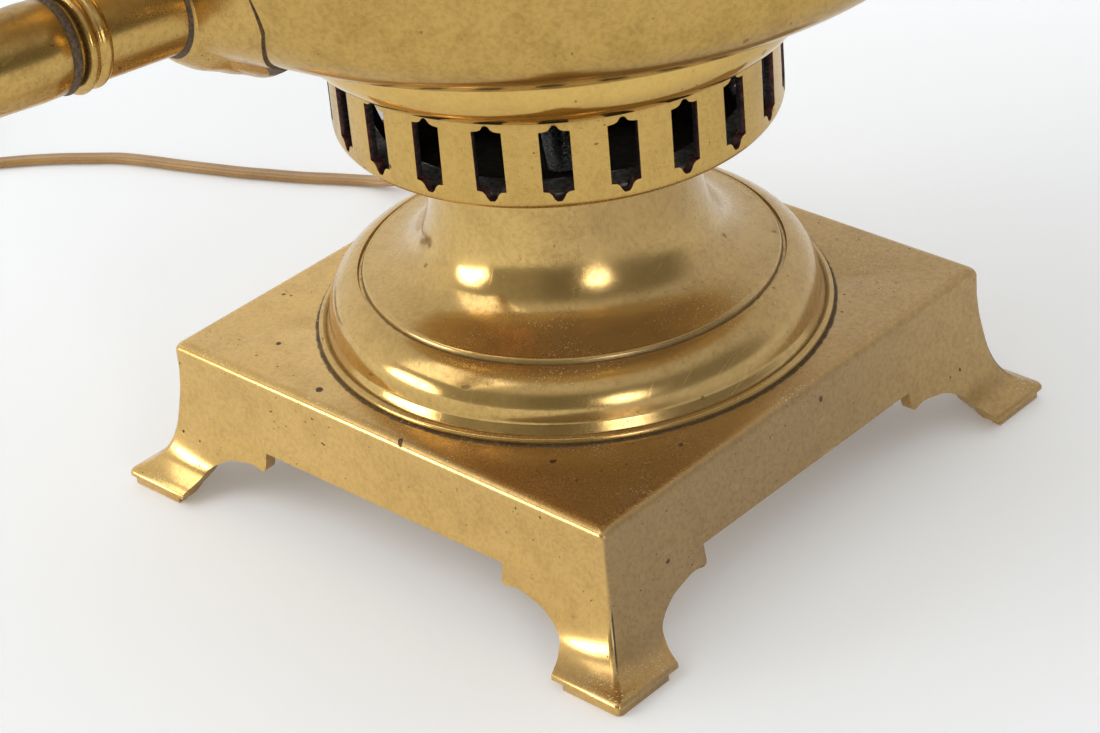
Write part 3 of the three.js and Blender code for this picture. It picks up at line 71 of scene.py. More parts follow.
def catmull(points: Sequence[Sequence[float]], steps: int) -> list[tuple[float, ...]]:
    """Smooth a run of points with a centripetal Catmull-Rom curve.

    Args:
        points: Control points, two or three numbers each.
        steps: Samples between neighbouring points.

    Returns:
        The sampled points, ends included.
    """
    knots = [Vector(p) for p in points]
    if len(knots) < 3:
        return [tuple(p) for p in knots]
    knots = [knots[0] * 2 - knots[1], *knots, knots[-1] * 2 - knots[-2]]
    result: list[tuple[float, ...]] = []
    for i in range(1, len(knots) - 2):
        p0, p1, p2, p3 = knots[i - 1:i + 3]
        t1 = max((p1 - p0).length, 1e-9) ** 0.5
        t2 = t1 + max((p2 - p1).length, 1e-9) ** 0.5
        t3 = t2 + max((p3 - p2).length, 1e-9) ** 0.5
        for k in range(steps):
            t = t1 + (t2 - t1) * k / steps
            a1 = p0 * ((t1 - t) / t1) + p1 * (t / t1)
            a2 = p1 * ((t2 - t) / (t2 - t1)) + p2 * ((t - t1) / (t2 - t1))
            a3 = p2 * ((t3 - t) / (t3 - t2)) + p3 * ((t - t2) / (t3 - t2))
            b1 = a1 * ((t2 - t) / t2) + a2 * (t / t2)
            b2 = a2 * ((t3 - t) / (t3 - t1)) + a3 * ((t - t1) / (t3 - t1))
            result.append(tuple(b1 * ((t2 - t) / (t2 - t1)) + b2 * ((t - t1) / (t2 - t1))))
    result.append(tuple(knots[-2]))
    return result


def outline(*runs: Sequence[Pair], steps: int = 6) -> list[Pair]:
    """Chain smooth runs into one profile with sharp joints between them.

    Args:
        runs: Control points of each run; a joint's point is written in both.
        steps: Samples between control points.

    Returns:
        The profile's points.
    """
    points: list[Pair] = []
    for run in runs:
        for point in catmull(run, steps) if len(run) > 2 else run:
            if not points or math.dist(points[-1], point) > 1e-5:
                points.append(tuple(point))
    return points


def rounded(points: Sequence[Pair], radius: float, steps: int = 3, closed: bool = False) -> list[Pair]:
    """Round the corners of a polyline.

    Args:
        points: Corner points.
        radius: Rounding, shortened where the sides are short.
        steps: Points along each rounding.
        closed: Whether the last point joins the first.

    Returns:
        The rounded polyline.
    """
    result: list[Pair] = []
    count = len(points)
    for i, point in enumerate(points):
        if not closed and i in (0, count - 1):
            result.append(point)
            continue
        here = Vector(point)
        before = Vector(points[i - 1]) - here
        after = Vector(points[(i + 1) % count]) - here
        if before.length < 1e-6 or after.length < 1e-6 or before.angle(after) > math.radians(165):
            result.append(point)
            continue
        reach = min(radius, before.length * 0.45, after.length * 0.45)
        start = here + before.normalized() * reach
        end = here + after.normalized() * reach
        for k in range(steps + 1):
            t = k / steps
            result.append(tuple(start * (1 - t) ** 2 + here * (2 * t * (1 - t)) + end * t ** 2))
    return result


def circle(radius: float, count: int, x: float = 0.0, y: float = 0.0, tall: float = 1.0) -> list[Pair]:
    """Return points round a circle, or round an ellipse that is taller by a share."""
    angles = (2 * math.pi * k / count for k in range(count))
    return [(x + radius * math.cos(a), y + radius * tall * math.sin(a)) for a in angles]


def slab(near: float, far: float, low: float, high: float, radius: float, steps: int) -> list[Pair]:
    """Return a rectangle with rounded corners."""
    return rounded([(near, low), (far, low), (far, high), (near, high)], radius, steps, True)


def grid(rows: int, ring: int, closed: bool = False) -> list[tuple[int, ...]]:
    """Return the faces between rows of points, where each row is a ring.

    Args:
        rows: Number of rows.
        ring: Points in each row.
        closed: Whether the last row joins the first.

    Returns:
        Four point numbers for each face.
    """
    steps = [(i * ring, (i + 1) % rows * ring) for i in range(rows if closed else rows - 1)]
    return [(a + k, a + (k + 1) % ring, b + (k + 1) % ring, b + k) for a, b in steps for k in range(ring)]


def linked(name: str, data: bpy.types.ID) -> Piece:
    """Return a new object for some data, linked into the scene."""
    made = bpy.data.objects.new(name, data)
    bpy.context.scene.collection.objects.link(made)
    return made


class Shape:
    """Mesh maker: every size it takes is in millimetres."""

    @staticmethod
    def mesh(name: str, verts: Iterable[Sequence[float]], faces: Iterable[Sequence[int]],
             place: Matrix | None = None, sharp: float = 38.0) -> Piece:
        """Make one shaded object from points and faces.

        Args:
            name: Object name.
            verts: Points in millimetres.
            faces: Corner indices of each face.
            place: Transform in millimetres, put into the mesh.
            sharp: Angle in degrees past which an edge is sharp.

        Returns:
            The new object, linked into the scene.
        """
        data = bpy.data.meshes.new(name)
        points = [Vector(v) for v in verts]
        if place is not None:
            points = [place @ p for p in points]
        data.from_pydata([p * MM for p in points], [], [tuple(f) for f in faces])
        work = bmesh.new()
        work.from_mesh(data)
        bmesh.ops.remove_doubles(work, verts=work.verts, dist=1e-7)
        bmesh.ops.dissolve_degenerate(work, edges=work.edges, dist=1e-8)
        bmesh.ops.recalc_face_normals(work, faces=work.faces)
        work.to_mesh(data)
        work.free()
        piece = linked(name, data)
        Shape.shade(piece, sharp)
        return piece

    @staticmethod
    def shade(piece: Piece, sharp: float = 38.0) -> None:
        """Shade smooth, with edges past the angle kept sharp."""
        piece.data.shade_smooth()
        piece.data.set_sharp_from_angle(angle=math.radians(sharp))

    @staticmethod
    def turned(name: str, profile: Sequence[Pair], segments: int = 128, place: Matrix | None = None,
               sharp: float = 38.0) -> Piece:
        """Turn a closed profile, or one that starts and ends on the axis, about Z.

        Args:
            name: Object name.
            profile: Radius and height pairs.
            segments: Steps round the axis.
            place: Transform put into the mesh.
            sharp: Angle past which an edge is sharp.

        Returns:
            The turned object.
        """
        on_axis = abs(profile[0][0]) < 1e-6 and abs(profile[-1][0]) < 1e-6
        verts = [(x, y, height) for radius, height in profile for x, y in circle(radius, segments)]
        return Shape.mesh(name, verts, grid(len(profile), segments, not on_axis), place, sharp)

    @staticmethod
    def drill(name: str, radius: float, low: float, high: float, place: Matrix | None = None) -> Piece:
        """Return a plain rod that cuts a hole about Z."""
        return Shape.turned(name, [(0, low), (radius, low), (radius, high), (0, high)], 40, place)

    @staticmethod
    def swept(name: str, path: Sequence[Triple], section: Sequence[Pair], level: bool = False,
              closed: bool = False, place: Matrix | None = None,
              scale: Callable[[float], float] | None = None, sharp: float = 38.0) -> Piece:
        """Sweep a closed section along a path.

        Args:
            name: Object name.
            path: Points of the path.
            section: Section points: across, then up.
            level: Keep the section level with the ground.
            closed: Whether the path is a loop.
            place: Transform put into the mesh.
            scale: Section scale against the share of the path covered.
            sharp: Angle past which an edge is sharp.

        Returns:
            The swept object.
        """
        points = [Vector(p) for p in path]
        count = len(points)
        verts: list[Vector] = []
        side = Vector((0, 1, 0))
        for i, point in enumerate(points):
            before = points[i - 1] if closed or i else points[0]
            after = points[(i + 1) % count] if closed or i + 1 < count else points[-1]
            ahead = (after - before).normalized()
            if level:
                side = Vector((0, 0, 1)).cross(ahead).normalized()
            elif i == 0:
                side = ahead.orthogonal().normalized()
            else:
                side = (side - ahead * side.dot(ahead)).normalized()
            up = ahead.cross(side)
            size = scale(i / (count - 1)) if scale else 1.0
            verts += [point + side * (x * size) + up * (y * size) for x, y in section]
        ring = len(section)
        faces = grid(count, ring, closed)
        if not closed:
            faces += [tuple(range(ring)), tuple(range((count - 1) * ring, count * ring))]
        return Shape.mesh(name, verts, faces, place, sharp)

    @staticmethod
    def lofted(name: str, sections: Sequence[Sequence[Triple]], place: Matrix | None = None,
               sharp: float = 38.0) -> Piece:
        """Join closed sections of equal point counts into one closed form."""
        ring = len(sections[0])
        verts = [p for section in sections for p in section]
        ends = [tuple(range(ring)), tuple(range(len(verts) - ring, len(verts)))]
        return Shape.mesh(name, verts, [*grid(len(sections), ring), *ends], place, sharp)

    @staticmethod
    def plate(name: str, outer: Sequence[Pair], holes: Sequence[Sequence[Pair]], thick: float,
              bevel: float, place: Matrix) -> Piece:
        """Make a bevelled plate from a flat outline with holes, centred on its thickness.

        Args:
            name: Object name.
            outer: Outline points.
            holes: Outlines of the holes.
            thick: Plate thickness.
            bevel: Edge rounding.
            place: Transform put into the mesh.

        Returns:
            The plate.
        """
        curve = bpy.data.curves.new(name, "CURVE")
        curve.dimensions = "2D"
        curve.fill_mode = "BOTH"
        curve.extrude = (thick / 2 - bevel) * MM
        curve.bevel_depth = bevel * MM
        curve.bevel_resolution = 2
        curve.offset = -bevel * MM
        for points in [outer, *holes]:
            line = curve.splines.new("POLY")
            line.points.add(len(points) - 1)
            for slot, (x, y) in zip(line.points, points):
                slot.co = (x * MM, y * MM, 0, 1)
            line.use_cyclic_u = True
        holder = linked(name + "_outline", curve)
        data = bpy.data.meshes.new_from_object(holder.evaluated_get(bpy.context.evaluated_depsgraph_get()))
        bpy.data.objects.remove(holder)
        move = place.copy()
        move.translation = place.translation * MM
        data.transform(move)
        data.materials.clear()
        piece = linked(name, data)
        Shape.shade(piece, 50)
        return piece

    @staticmethod
    def joined(name: str, *pieces: Piece) -> Piece:
        """Put the meshes of several pieces into one object."""
        work = bmesh.new()
        for piece in pieces:
            work.from_mesh(piece.data)
            bpy.data.objects.remove(piece)
        data = bpy.data.meshes.new(name)
        work.to_mesh(data)
        work.free()
        whole = linked(name, data)
        Shape.shade(whole)
        return whole

    @staticmethod
    def settled(piece: Piece) -> Piece:
        """Apply a piece's modifiers to its mesh."""
        graph = bpy.context.evaluated_depsgraph_get()
        data = bpy.data.meshes.new_from_object(piece.evaluated_get(graph), depsgraph=graph)
        piece.modifiers.clear()
        old = piece.data
        piece.data = data
        bpy.data.meshes.remove(old)
        return piece

    @staticmethod
    def carved(piece: Piece, *cutters: Piece, bevel: float = 0.0,
               sharp: float = 38.0, transfer: bool = False) -> Piece:
        """Cut shapes out of a piece and soften its edges.

        Args:
            piece: Piece to cut.
            cutters: Shapes cut out, then removed.
            bevel: Edge rounding in millimetres, or zero.
            sharp: Angle past which an edge is sharp.
            transfer: Keep each cutter's finish on the faces that it leaves.

        Returns:
            The same piece.
        """
        for cutter in cutters:
            cut = piece.modifiers.new("cut", "BOOLEAN")
            cut.operation = "DIFFERENCE"
            cut.solver = "EXACT"
            cut.material_mode = "TRANSFER" if transfer else "INDEX"
            cut.object = cutter
        if bevel:
            soft = piece.modifiers.new("soft", "BEVEL")
            soft.width = bevel * MM
            soft.segments = 2
            soft.limit_method = "ANGLE"
            soft.angle_limit = math.radians(36)
            soft.miter_outer = "MITER_ARC"
            soft.use_clamp_overlap = True
        Shape.settled(piece)
        for cutter in cutters:
            bpy.data.objects.remove(cutter)
        Shape.shade(piece, sharp)
        return piece


def keep(piece: Piece, paint: "Paint", *nodes: str, body: Body = Body.LAMP) -> Piece:
    """Dress a piece, ride it on its body and hide the CAD nodes it stands for.

    Args:
        piece: The piece.
        paint: Its finish, given to a piece that has none yet; its record slot is not used.
        nodes: CAD nodes that it replaces.
        body: Body that carries it.

    Returns:
        The same piece.
    """
    material, slot = paint
    if not piece.data.materials:
        piece.data.materials.append(material)
    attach(piece, body.value)
    if nodes:
        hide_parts(*nodes)
    LOG.info("made %s on %s", piece.name, body.value)
    return piece


class Graph:
    """Small helper that builds a node tree; every value it is given is plain."""

    def __init__(self, tree: bpy.types.NodeTree) -> None:
        """Start with an empty tree."""
        self.tree = tree
        tree.nodes.clear()

    def node(self, kind: str, inputs: dict | None = None, **settings: object) -> bpy.types.Node:
        """Add a node.

        Args:
            kind: Node type name without its prefix.
            inputs: Values or sockets by input name or index.
            settings: Node properties.

        Returns:
            The node.
        """
        made = self.tree.nodes.new("ShaderNode" + kind)
        for key, value in settings.items():
            setattr(made, key, value)
        for key, value in (inputs or {}).items():
            if isinstance(value, Socket):
                self.tree.links.new(value, made.inputs[key])
            else:
                made.inputs[key].default_value = value
        return made

    def math(self, operation: str, *values: object, clamp: bool = False) -> Socket:
        """Return the result of a maths node."""
        inputs = dict(enumerate(values))
        return self.node("Math", inputs, operation=operation, use_clamp=clamp).outputs[0]

    def fold(self, operation: str, values: Sequence[object], clamp: bool = False) -> Socket:
        """Return one maths operation carried through all the values, from the left."""
        total, *others = values
        for value in others:
            total = self.math(operation, total, value, clamp=clamp)
        return total

    def times(self, *values: object) -> Socket:
        """Return the values' product."""
        return self.fold("MULTIPLY", values)

    def plus(self, *values: object, clamp: bool = False) -> Socket:
        """Return the values' sum."""
        return self.fold("ADD", values, clamp)

    def less(self, first: object, second: object, clamp: bool = False) -> Socket:
        """Return the first value less the second."""
        return self.math("SUBTRACT", first, second, clamp=clamp)

    def most(self, *values: object) -> Socket:
        """Return the largest value."""
        return self.fold("MAXIMUM", values)

    def axes(self) -> Sequence[Socket]:
        """Return the object coordinates in metres, one by one."""
        return self.node("SeparateXYZ", {0: self.node("TexCoord").outputs["Object"]}).outputs

    def layer(self, layer: "Layer") -> Socket:
        """Return a noise layer, zero below its lower edge and one above its upper edge."""
        scale, detail, rough, low, high = layer.value
        return self.step(self.noise(scale, detail, rough), low, high)

    def place(self, scale: Triple = (1, 1, 1), turn: Triple = (0, 0, 0)) -> Socket:
        """Return object coordinates in metres, scaled and turned."""
        source = self.node("TexCoord").outputs["Object"]
        return self.node("Mapping", {"Vector": source, "Scale": scale, "Rotation": turn}).outputs[0]

    def noise(self, scale: float, detail: float = 3.0, rough: float = 0.55,
              vector: Socket | None = None) -> Socket:
        """Return a noise value; scale is in features per metre."""
        inputs = {"Scale": scale, "Detail": detail, "Roughness": rough}
        inputs["Vector"] = vector if vector is not None else self.node("TexCoord").outputs["Object"]
        return self.node("TexNoise", inputs).outputs[0]

    def step(self, value: Socket, low: float, high: float,
             to_low: float = 0.0, to_high: float = 1.0) -> Socket:
        """Return a smooth step of a value between two edges."""
        inputs = {"Value": value, "From Min": low, "From Max": high, "To Min": to_low, "To Max": to_high}
        return self.node("MapRange", inputs, interpolation_type="SMOOTHSTEP").outputs[0]

    def blend(self, share: object, first: object, second: object) -> Socket:
        """Return a colour mixed from two."""
        made = self.node("Mix", data_type="RGBA")
        for index, value in ((0, share), (6, first), (7, second)):
            if isinstance(value, Socket):
                self.tree.links.new(value, made.inputs[index])
            elif index == 0:
                made.inputs[0].default_value = value
            else:
                made.inputs[index].default_value = (*value[:3], 1.0)
        return made.outputs[2]

    def radius(self) -> tuple[Socket, Socket]:
        """Return the distance from the lamp's axis and the height, in metres."""
        x, y, z = self.axes()
        return self.math("SQRT", self.plus(self.math("POWER", x, 2.0), self.math("POWER", y, 2.0))), z

    def band(self, value: Socket, low: float, high: float, soft: float) -> Socket:
        """Return one inside a band of values and zero outside it."""
        rise = self.step(value, low - soft, low + soft)
        fall = self.step(value, high - soft, high + soft, 1.0, 0.0)
        return self.times(rise, fall)


def surface(name: str) -> tuple[bpy.types.Material, Graph]:
    """Return a new material with an empty tree."""
    material = bpy.data.materials.new(name)
    material.use_nodes = True
    return material, Graph(material.node_tree)


def close(graph: Graph, inputs: dict, height: Socket, depth: float, strength: float = 1.0,
          **fixed: object) -> None:
    """Finish a tree with a principled shader and a bump.

    Args:
        graph: The tree.
        inputs: Shader inputs by name.
        height: Bump height value.
        depth: Bump depth in metres.
        strength: Share of the bump that shows.
        fixed: Constant shader inputs by name, with _ for a space.
    """
    shader = graph.node("BsdfPrincipled", inputs)
    bump = graph.node("Bump", {"Height": height, "Distance": depth, "Strength": strength})
    graph.tree.links.new(bump.outputs[0], shader.inputs["Normal"])
    for name, value in fixed.items():
        shader.inputs[name.replace("_", " ")].default_value = value
    out = graph.node("OutputMaterial")
    graph.tree.links.new(shader.outputs[0], out.inputs[0])


class Layer(Enum):
    """Noise layers of the brass: features per metre, detail, roughness, lower and upper edge."""

    CLOUD = (22.0, 3.0, 0.6, 0.38, 0.66)
    GRAIN = (760.0, 4.0, 0.7, 0.40, 0.66)
    PATCH = (130.0, 4.0, 0.62, 0.44, 0.66)
    PIT = (820.0, 1.0, 0.4, 0.735, 0.775)
    CLUMP = (60.0, 2.0, 0.5, 0.46, 0.62)
    BIG_PIT = (210.0, 1.0, 0.4, 0.765, 0.79)
    SPECK = (2000.0, 0.0, 0.5, 0.70, 0.74)
    VEIL = (40.0, 3.0, 0.6, 0.35, 0.75)


class DarkBands(Enum):
    """Where a brass piece is darkened: dirty lines where pieces meet, and near-black insides; radius and
    height bands in metres.
    """

    NONE = ()
    PLINTH = ((0.0669, 0.0683, 0.040, 0.0425, 0.0003, 0.9),)
    PEDESTAL = ((0.0652, 0.0664, 0.0430, 0.0436, 0.0003, 0.6), (0.0541, 0.0549, 0.0560, 0.0580, 0.0002, 0.5))
    # The second bands of RING and COLLAR and the URN band darken the inside of the ring and the undersides of
    # the collar and urn to near-black.
    RING = ((0.0598, 0.0660, 0.1262, 0.1282, 0.0003, 0.6), (0.0500, 0.0555, 0.1038, 0.1285, 0.0002, 1.0))
    COLLAR = ((0.0604, 0.0620, 0.1268, 0.1278, 0.0003, 0.7), (0.0500, 0.0558, 0.1270, 0.1440, 0.0002, 1.0))
    URN = ((0.0010, 0.0640, 0.1415, 0.1436, 0.0002, 1.0),)


@dataclass(frozen=True)
class BrassFinish:
    """Old brass: mottled, pitted and scratched, under a thin brown film, with dirty lines where pieces meet
    and painted shade.
    """

    name: str
    light: Color = (0.62, 0.405, 0.125)
    spot: Color = (0.10, 0.055, 0.025)
    roughness: float = 0.2
    spread: float = 0.12
    mottle: float = 0.8
    pits: float = 0.6
    film: float = 0.08
    settled: float = 0.15
    # Strength of the painted shade on the right half and the right-facing wall.
    dull_side: float = 0.0
    dust: float = 0.0
    seam: bool = False
    grime: DarkBands = DarkBands.NONE
    deep_shares: Triple = (0.60, 0.54, 0.45)
    film_and_shade_tone: Color = (0.23, 0.150, 0.072)
    corner_shade_tone: Color = (0.27, 0.150, 0.050)
    darkening_tone: Color = (0.045, 0.032, 0.022)
    crack_tone: Color = (0.03, 0.02, 0.012)
    dust_tone: Color = (0.74, 0.68, 0.60)
    scratch_runs: tuple[tuple[Triple, Triple], ...] = (
        ((0.3, 0.2, 0.5), (2600, 95, 95)), ((1.2, 0.4, 2.2), (2300, 80, 110)),
        ((0.2, 1.3, 1.0), (2800, 110, 85)))

    def make(self) -> bpy.types.Material:
        """Build the material."""
        material, g = surface(self.name)
        way = g.node("SeparateXYZ", {0: g.node("NewGeometry").outputs["Normal"]}).outputs
        cloud, grain, patch = g.layer(Layer.CLOUD), g.layer(Layer.GRAIN), g.layer(Layer.PATCH)
        tarnish = g.plus(g.plus(g.times(grain, 0.42), g.times(patch, 0.34)), g.times(cloud, 0.2))
        tarnish = g.math("MULTIPLY", tarnish, self.mottle, clamp=True)
        deep = tuple(c * share for c, share in zip(self.light, self.deep_shares))
        # The film share also carries painted shade on the shaded side of the plinth and pedestal.
        film = self.film_and_shade_share(g, way, grain)
        color = g.blend(film, g.blend(tarnish, self.light, deep), self.film_and_shade_tone)
        if self.dull_side > 0.3:
            # Painted shade toward the front corner of the plinth's top.
            color = g.blend(g.times(self.shaded_front_corner(g, way[2]), 0.55), color, self.corner_shade_tone)
        pit = g.times(g.layer(Layer.PIT), g.layer(Layer.CLUMP), self.pits)
        pit = g.most(pit, g.times(g.layer(Layer.BIG_PIT), self.pits))
        color = g.blend(pit, color, self.spot)
        scratch = self.scratches(g)
        color = g.blend(g.times(scratch, 0.3), color, tuple(min(1.0, c * 1.4) for c in self.light))
        rough = g.plus(self.roughness, g.times(tarnish, self.spread))
        rough = g.plus(rough, g.times(g.plus(pit, scratch), 0.2))
        rough = g.plus(rough, g.times(film, 0.3), clamp=True)
        metal = g.less(1.0, film, clamp=True)
        if self.grime is not DarkBands.NONE:
            darkening = self.darkening(g)
            color = g.blend(darkening, color, self.darkening_tone)
            rough = g.plus(rough, g.times(darkening, 0.45), clamp=True)
            metal = g.less(metal, darkening, clamp=True)
        if self.seam:
            crack = self.crack(g)
            color = g.blend(crack, color, self.crack_tone)
            metal = g.less(metal, crack, clamp=True)
        if self.dust:
            speck = g.times(g.layer(Layer.SPECK), g.layer(Layer.VEIL), g.step(way[2], 0.55, 0.9), self.dust)
            color = g.blend(speck, color, self.dust_tone)
            rough = g.plus(rough, g.times(speck, 0.5), clamp=True)
            metal = g.less(metal, g.times(speck, 0.7), clamp=True)
        marks = g.plus(g.times(pit, 0.5), g.times(scratch, 0.1))
        height = g.less(g.times(g.noise(150.0, 3.0, 0.5), 0.6), marks)
        close(g, {"Base Color": color, "Roughness": rough, "Metallic": metal}, height, 0.00022, 0.3)
        return material

    def film_and_shade_share(self, g: Graph, way: Sequence[Socket], grain: Socket) -> Socket:
        """Return how far a dull brown film, with painted shade on the shaded side, hides the metal.

        Args:
            g: The tree.
            way: The surface normal's three parts.
            grain: Fine mottling that breaks the film.

        Returns:
            The share, higher on level faces, and with painted shade on the shaded side: less on the left of
            the top, more on the right half and the right-facing wall.
        """
        level = g.times(g.step(way[2], 0.25, 0.85), self.settled)
        # Painted shade: less settled film on the left of the top, more on the right half and on the
        # right-facing wall, most toward its front.
        if self.dull_side:
            x, y, _ = g.axes()
            level = g.times(level, g.step(x, -0.06, 0.03, 0.3, 1.0))
            inside = g.step(y, -0.0765, -0.0740)
            side = g.times(g.step(x, -0.05, 0.06), inside, g.step(y, -0.07, 0.04, 0.3, 1.0))
            wall = g.times(g.step(way[0], 0.4, 0.9), g.step(y, -0.06, 0.08, 1.7, 0.35))
            level = g.plus(level, g.times(g.plus(side, wall), self.dull_side))
        broken = g.plus(0.9, g.times(grain, 0.2))
        return g.math("MULTIPLY", g.plus(self.film, level), broken, clamp=True)

    def shaded_front_corner(self, g: Graph, up: Socket) -> Socket:
        """Return where painted shade darkens and browns the plinth's top, toward its front corner."""
        x, y, _ = g.axes()
        return g.times(g.step(g.less(x, y), 0.03, 0.115), g.step(up, 0.5, 0.9))

    def scratches(self, g: Graph) -> Socket:
        """Return a few short faint scratches in three directions."""
        lines = [g.step(g.noise(1.0, 0.0, 0.4, g.place(scale, turn)), 0.80, 0.84)
                 for turn, scale in self.scratch_runs]
        return g.times(g.most(*lines), 0.3)

    def crack(self, g: Graph) -> Socket:
        """Return the open seam down the lower part of each plinth corner."""
        x, y, z = g.axes()
        apart = g.less(g.math("ABSOLUTE", x), g.math("ABSOLUTE", y))
        return g.times(g.band(apart, 0.0004, 0.0010, 0.0002), g.band(z, 0.0075, 0.0200, 0.002))

    def darkening(self, g: Graph) -> Socket:
        """Return the darkening in the bands named by the finish, broken up by noise."""
        reach, level = g.radius()
        reach = g.plus(reach, g.times(g.less(g.noise(420.0, 4.0, 0.65), 0.5), 0.0012))
        rings = []
        for inner, outer, low, high, soft, share in self.grime.value:
            broken = g.step(g.noise(520.0, 3.0, 0.6), 0.25, 0.55, 0.45 + share * 0.4, 1.0)
            ring = g.times(g.band(reach, inner, outer, soft), g.band(level, low, high, 0.0003))
            rings.append(g.times(ring, broken, share))
        return g.most(*rings)


@dataclass(frozen=True)
class StainFinish:
    """Dark maroon lacquer left on cut edges, worn through to the brass, and streaked black inside."""

    name: str = "stain_maroon"
    cover: float = 0.95
    brass: Color = (0.55, 0.35, 0.13)
    maroon: tuple[Color, Color] = ((0.150, 0.048, 0.052), (0.036, 0.012, 0.013))
    inner: tuple[Color, Color] = ((0.010, 0.009, 0.009), (0.075, 0.072, 0.070))

    def make(self) -> bpy.types.Material:
        """Build the material."""
        material, g = surface(self.name)
        bare = self.cover * 0.4
        worn = g.step(g.noise(700.0, 3.0, 0.6), 0.62 - bare, 0.75 - bare)
        stain = g.blend(g.step(g.noise(900.0, 3.0), 0.3, 0.65), *self.maroon)
        reach, level = g.radius()
        streak = g.step(g.noise(1.0, 3.0, 0.6, g.place((240, 240, 2600))), 0.52, 0.66)
        edge = g.most(g.step(reach, 0.0556, 0.0565), g.step(level, 0.1066, 0.1074, 1.0, 0.0))
        color = g.blend(worn, self.brass, g.blend(edge, g.blend(streak, *self.inner), stain))
        metal = g.less(1.0, worn, clamp=True)
        close(g, {"Base Color": color, "Roughness": 0.42, "Metallic": metal}, g.noise(800.0, 4.0), 0.0002)
        return material


@dataclass(frozen=True)
class PlainFinish:
    """A finish with a broken base colour, fine bump and a little variation in gloss."""

    name: str
    first: Color
    second: Color
    grain: float = 500.0
    roughness: float = 0.5
    metallic: float = 0.0
    depth: float = 0.0001
    stretch: Triple = (1.0, 1.0, 1.0)
    coat: float = 0.0
    low: float = 0.35
    high: float = 0.7
    vary: float = 0.12

    def make(self) -> bpy.types.Material:
        """Build the material."""
        material, g = surface(self.name)
        value = g.noise(self.grain, 5.0, 0.6, g.place(self.stretch))
        share = g.step(value, self.low, self.high)
        rough = g.plus(self.roughness - self.vary / 2, g.times(share, self.vary), clamp=True)
        color = g.blend(share, self.first, self.second)
        close(g, {"Base Color": color, "Roughness": rough, "Metallic": self.metallic}, value, self.depth,
              Coat_Weight=self.coat)
        return material


@dataclass(frozen=True)
class FlexFinish:
    """Clear gold-brown flex: two dark conductors show through a glossy skin."""

    name: str = "flex_gold"
    skin: tuple[Color, Color] = ((0.44, 0.245, 0.070), (0.34, 0.175, 0.042))
    strand: Color = (0.55, 0.34, 0.12)

    def make(self) -> bpy.types.Material:
        """Build the material."""
        material, g = surface(self.name)
        tone = g.step(g.noise(70.0, 3.0, 0.5), 0.3, 0.7)
        strand = g.step(g.noise(1400.0, 2.0, 0.5), 0.35, 0.65)
        color = g.blend(g.times(strand, 0.25), g.blend(tone, *self.skin), self.strand)
        close(g, {"Base Color": color, "Roughness": 0.3}, g.noise(900.0, 2.0), 0.00006,
              Subsurface_Weight=0.25, Subsurface_Radius=(0.0016, 0.0008, 0.0003), Coat_Weight=0.35,
              Coat_Roughness=0.12)
        return material


@dataclass(frozen=True)
class GlassFinish:
    """Pearl bulb glass: frosted inside, glossy outside."""

    name: str = "bulb_pearl"
    pearl: tuple[Color, Color] = ((0.93, 0.92, 0.88), (0.87, 0.86, 0.83))

    def make(self) -> bpy.types.Material:
        """Build the material."""
        material, g = surface(self.name)
        color = g.blend(g.step(g.noise(30.0, 3.0), 0.3, 0.7), *self.pearl)
        close(g, {"Base Color": color, "Roughness": 0.22}, g.noise(500.0, 2.0), 0.00003,
              Subsurface_Weight=0.35, Subsurface_Radius=(0.01, 0.01, 0.01), Coat_Weight=0.6)
        return material


@dataclass(frozen=True)
class CardFinish:
    """Cream shade card with pulp fibres."""

    name: str = "shade_card"
    first: Color = (0.79, 0.70, 0.53)
    second: Color = (0.70, 0.60, 0.43)
    fibre: Color = (0.88, 0.81, 0.67)

    def make(self) -> bpy.types.Material:
        """Build the material."""
        material, g = surface(self.name)
        thread = g.step(g.noise(1.0, 3.0, 0.5, g.place((900, 900, 90))), 0.35, 0.7)
        slub = g.step(g.noise(1.0, 2.0, 0.5, g.place((60, 60, 1500))), 0.4, 0.72)
        color = g.blend(g.step(g.noise(260.0, 6.0, 0.65), 0.3, 0.7), self.first, self.second)
        color = g.blend(g.times(g.most(thread, slub), 0.3), color, self.fibre)
        height = g.plus(g.times(thread, 0.5), g.times(slub, 0.5))
        close(g, {"Base Color": color, "Roughness": 0.85}, height, 0.00018, Sheen_Weight=0.15)
        return material


class Paint(NamedTuple):
    """A finish and the record slot that it belongs to."""

    material: bpy.types.Material
    slot: str


def brass(name: str, light: Color, **looks: object) -> Paint:
    """Return a brass finish."""
    return Paint(BrassFinish("brass_" + name, light, **looks).make(), "brass")


def plain(slot: str, name: str, first: Color, second: Color, **looks: object) -> Paint:
    """Return a plain finish."""
    return Paint(PlainFinish(name, first, second, **looks).make(), slot)


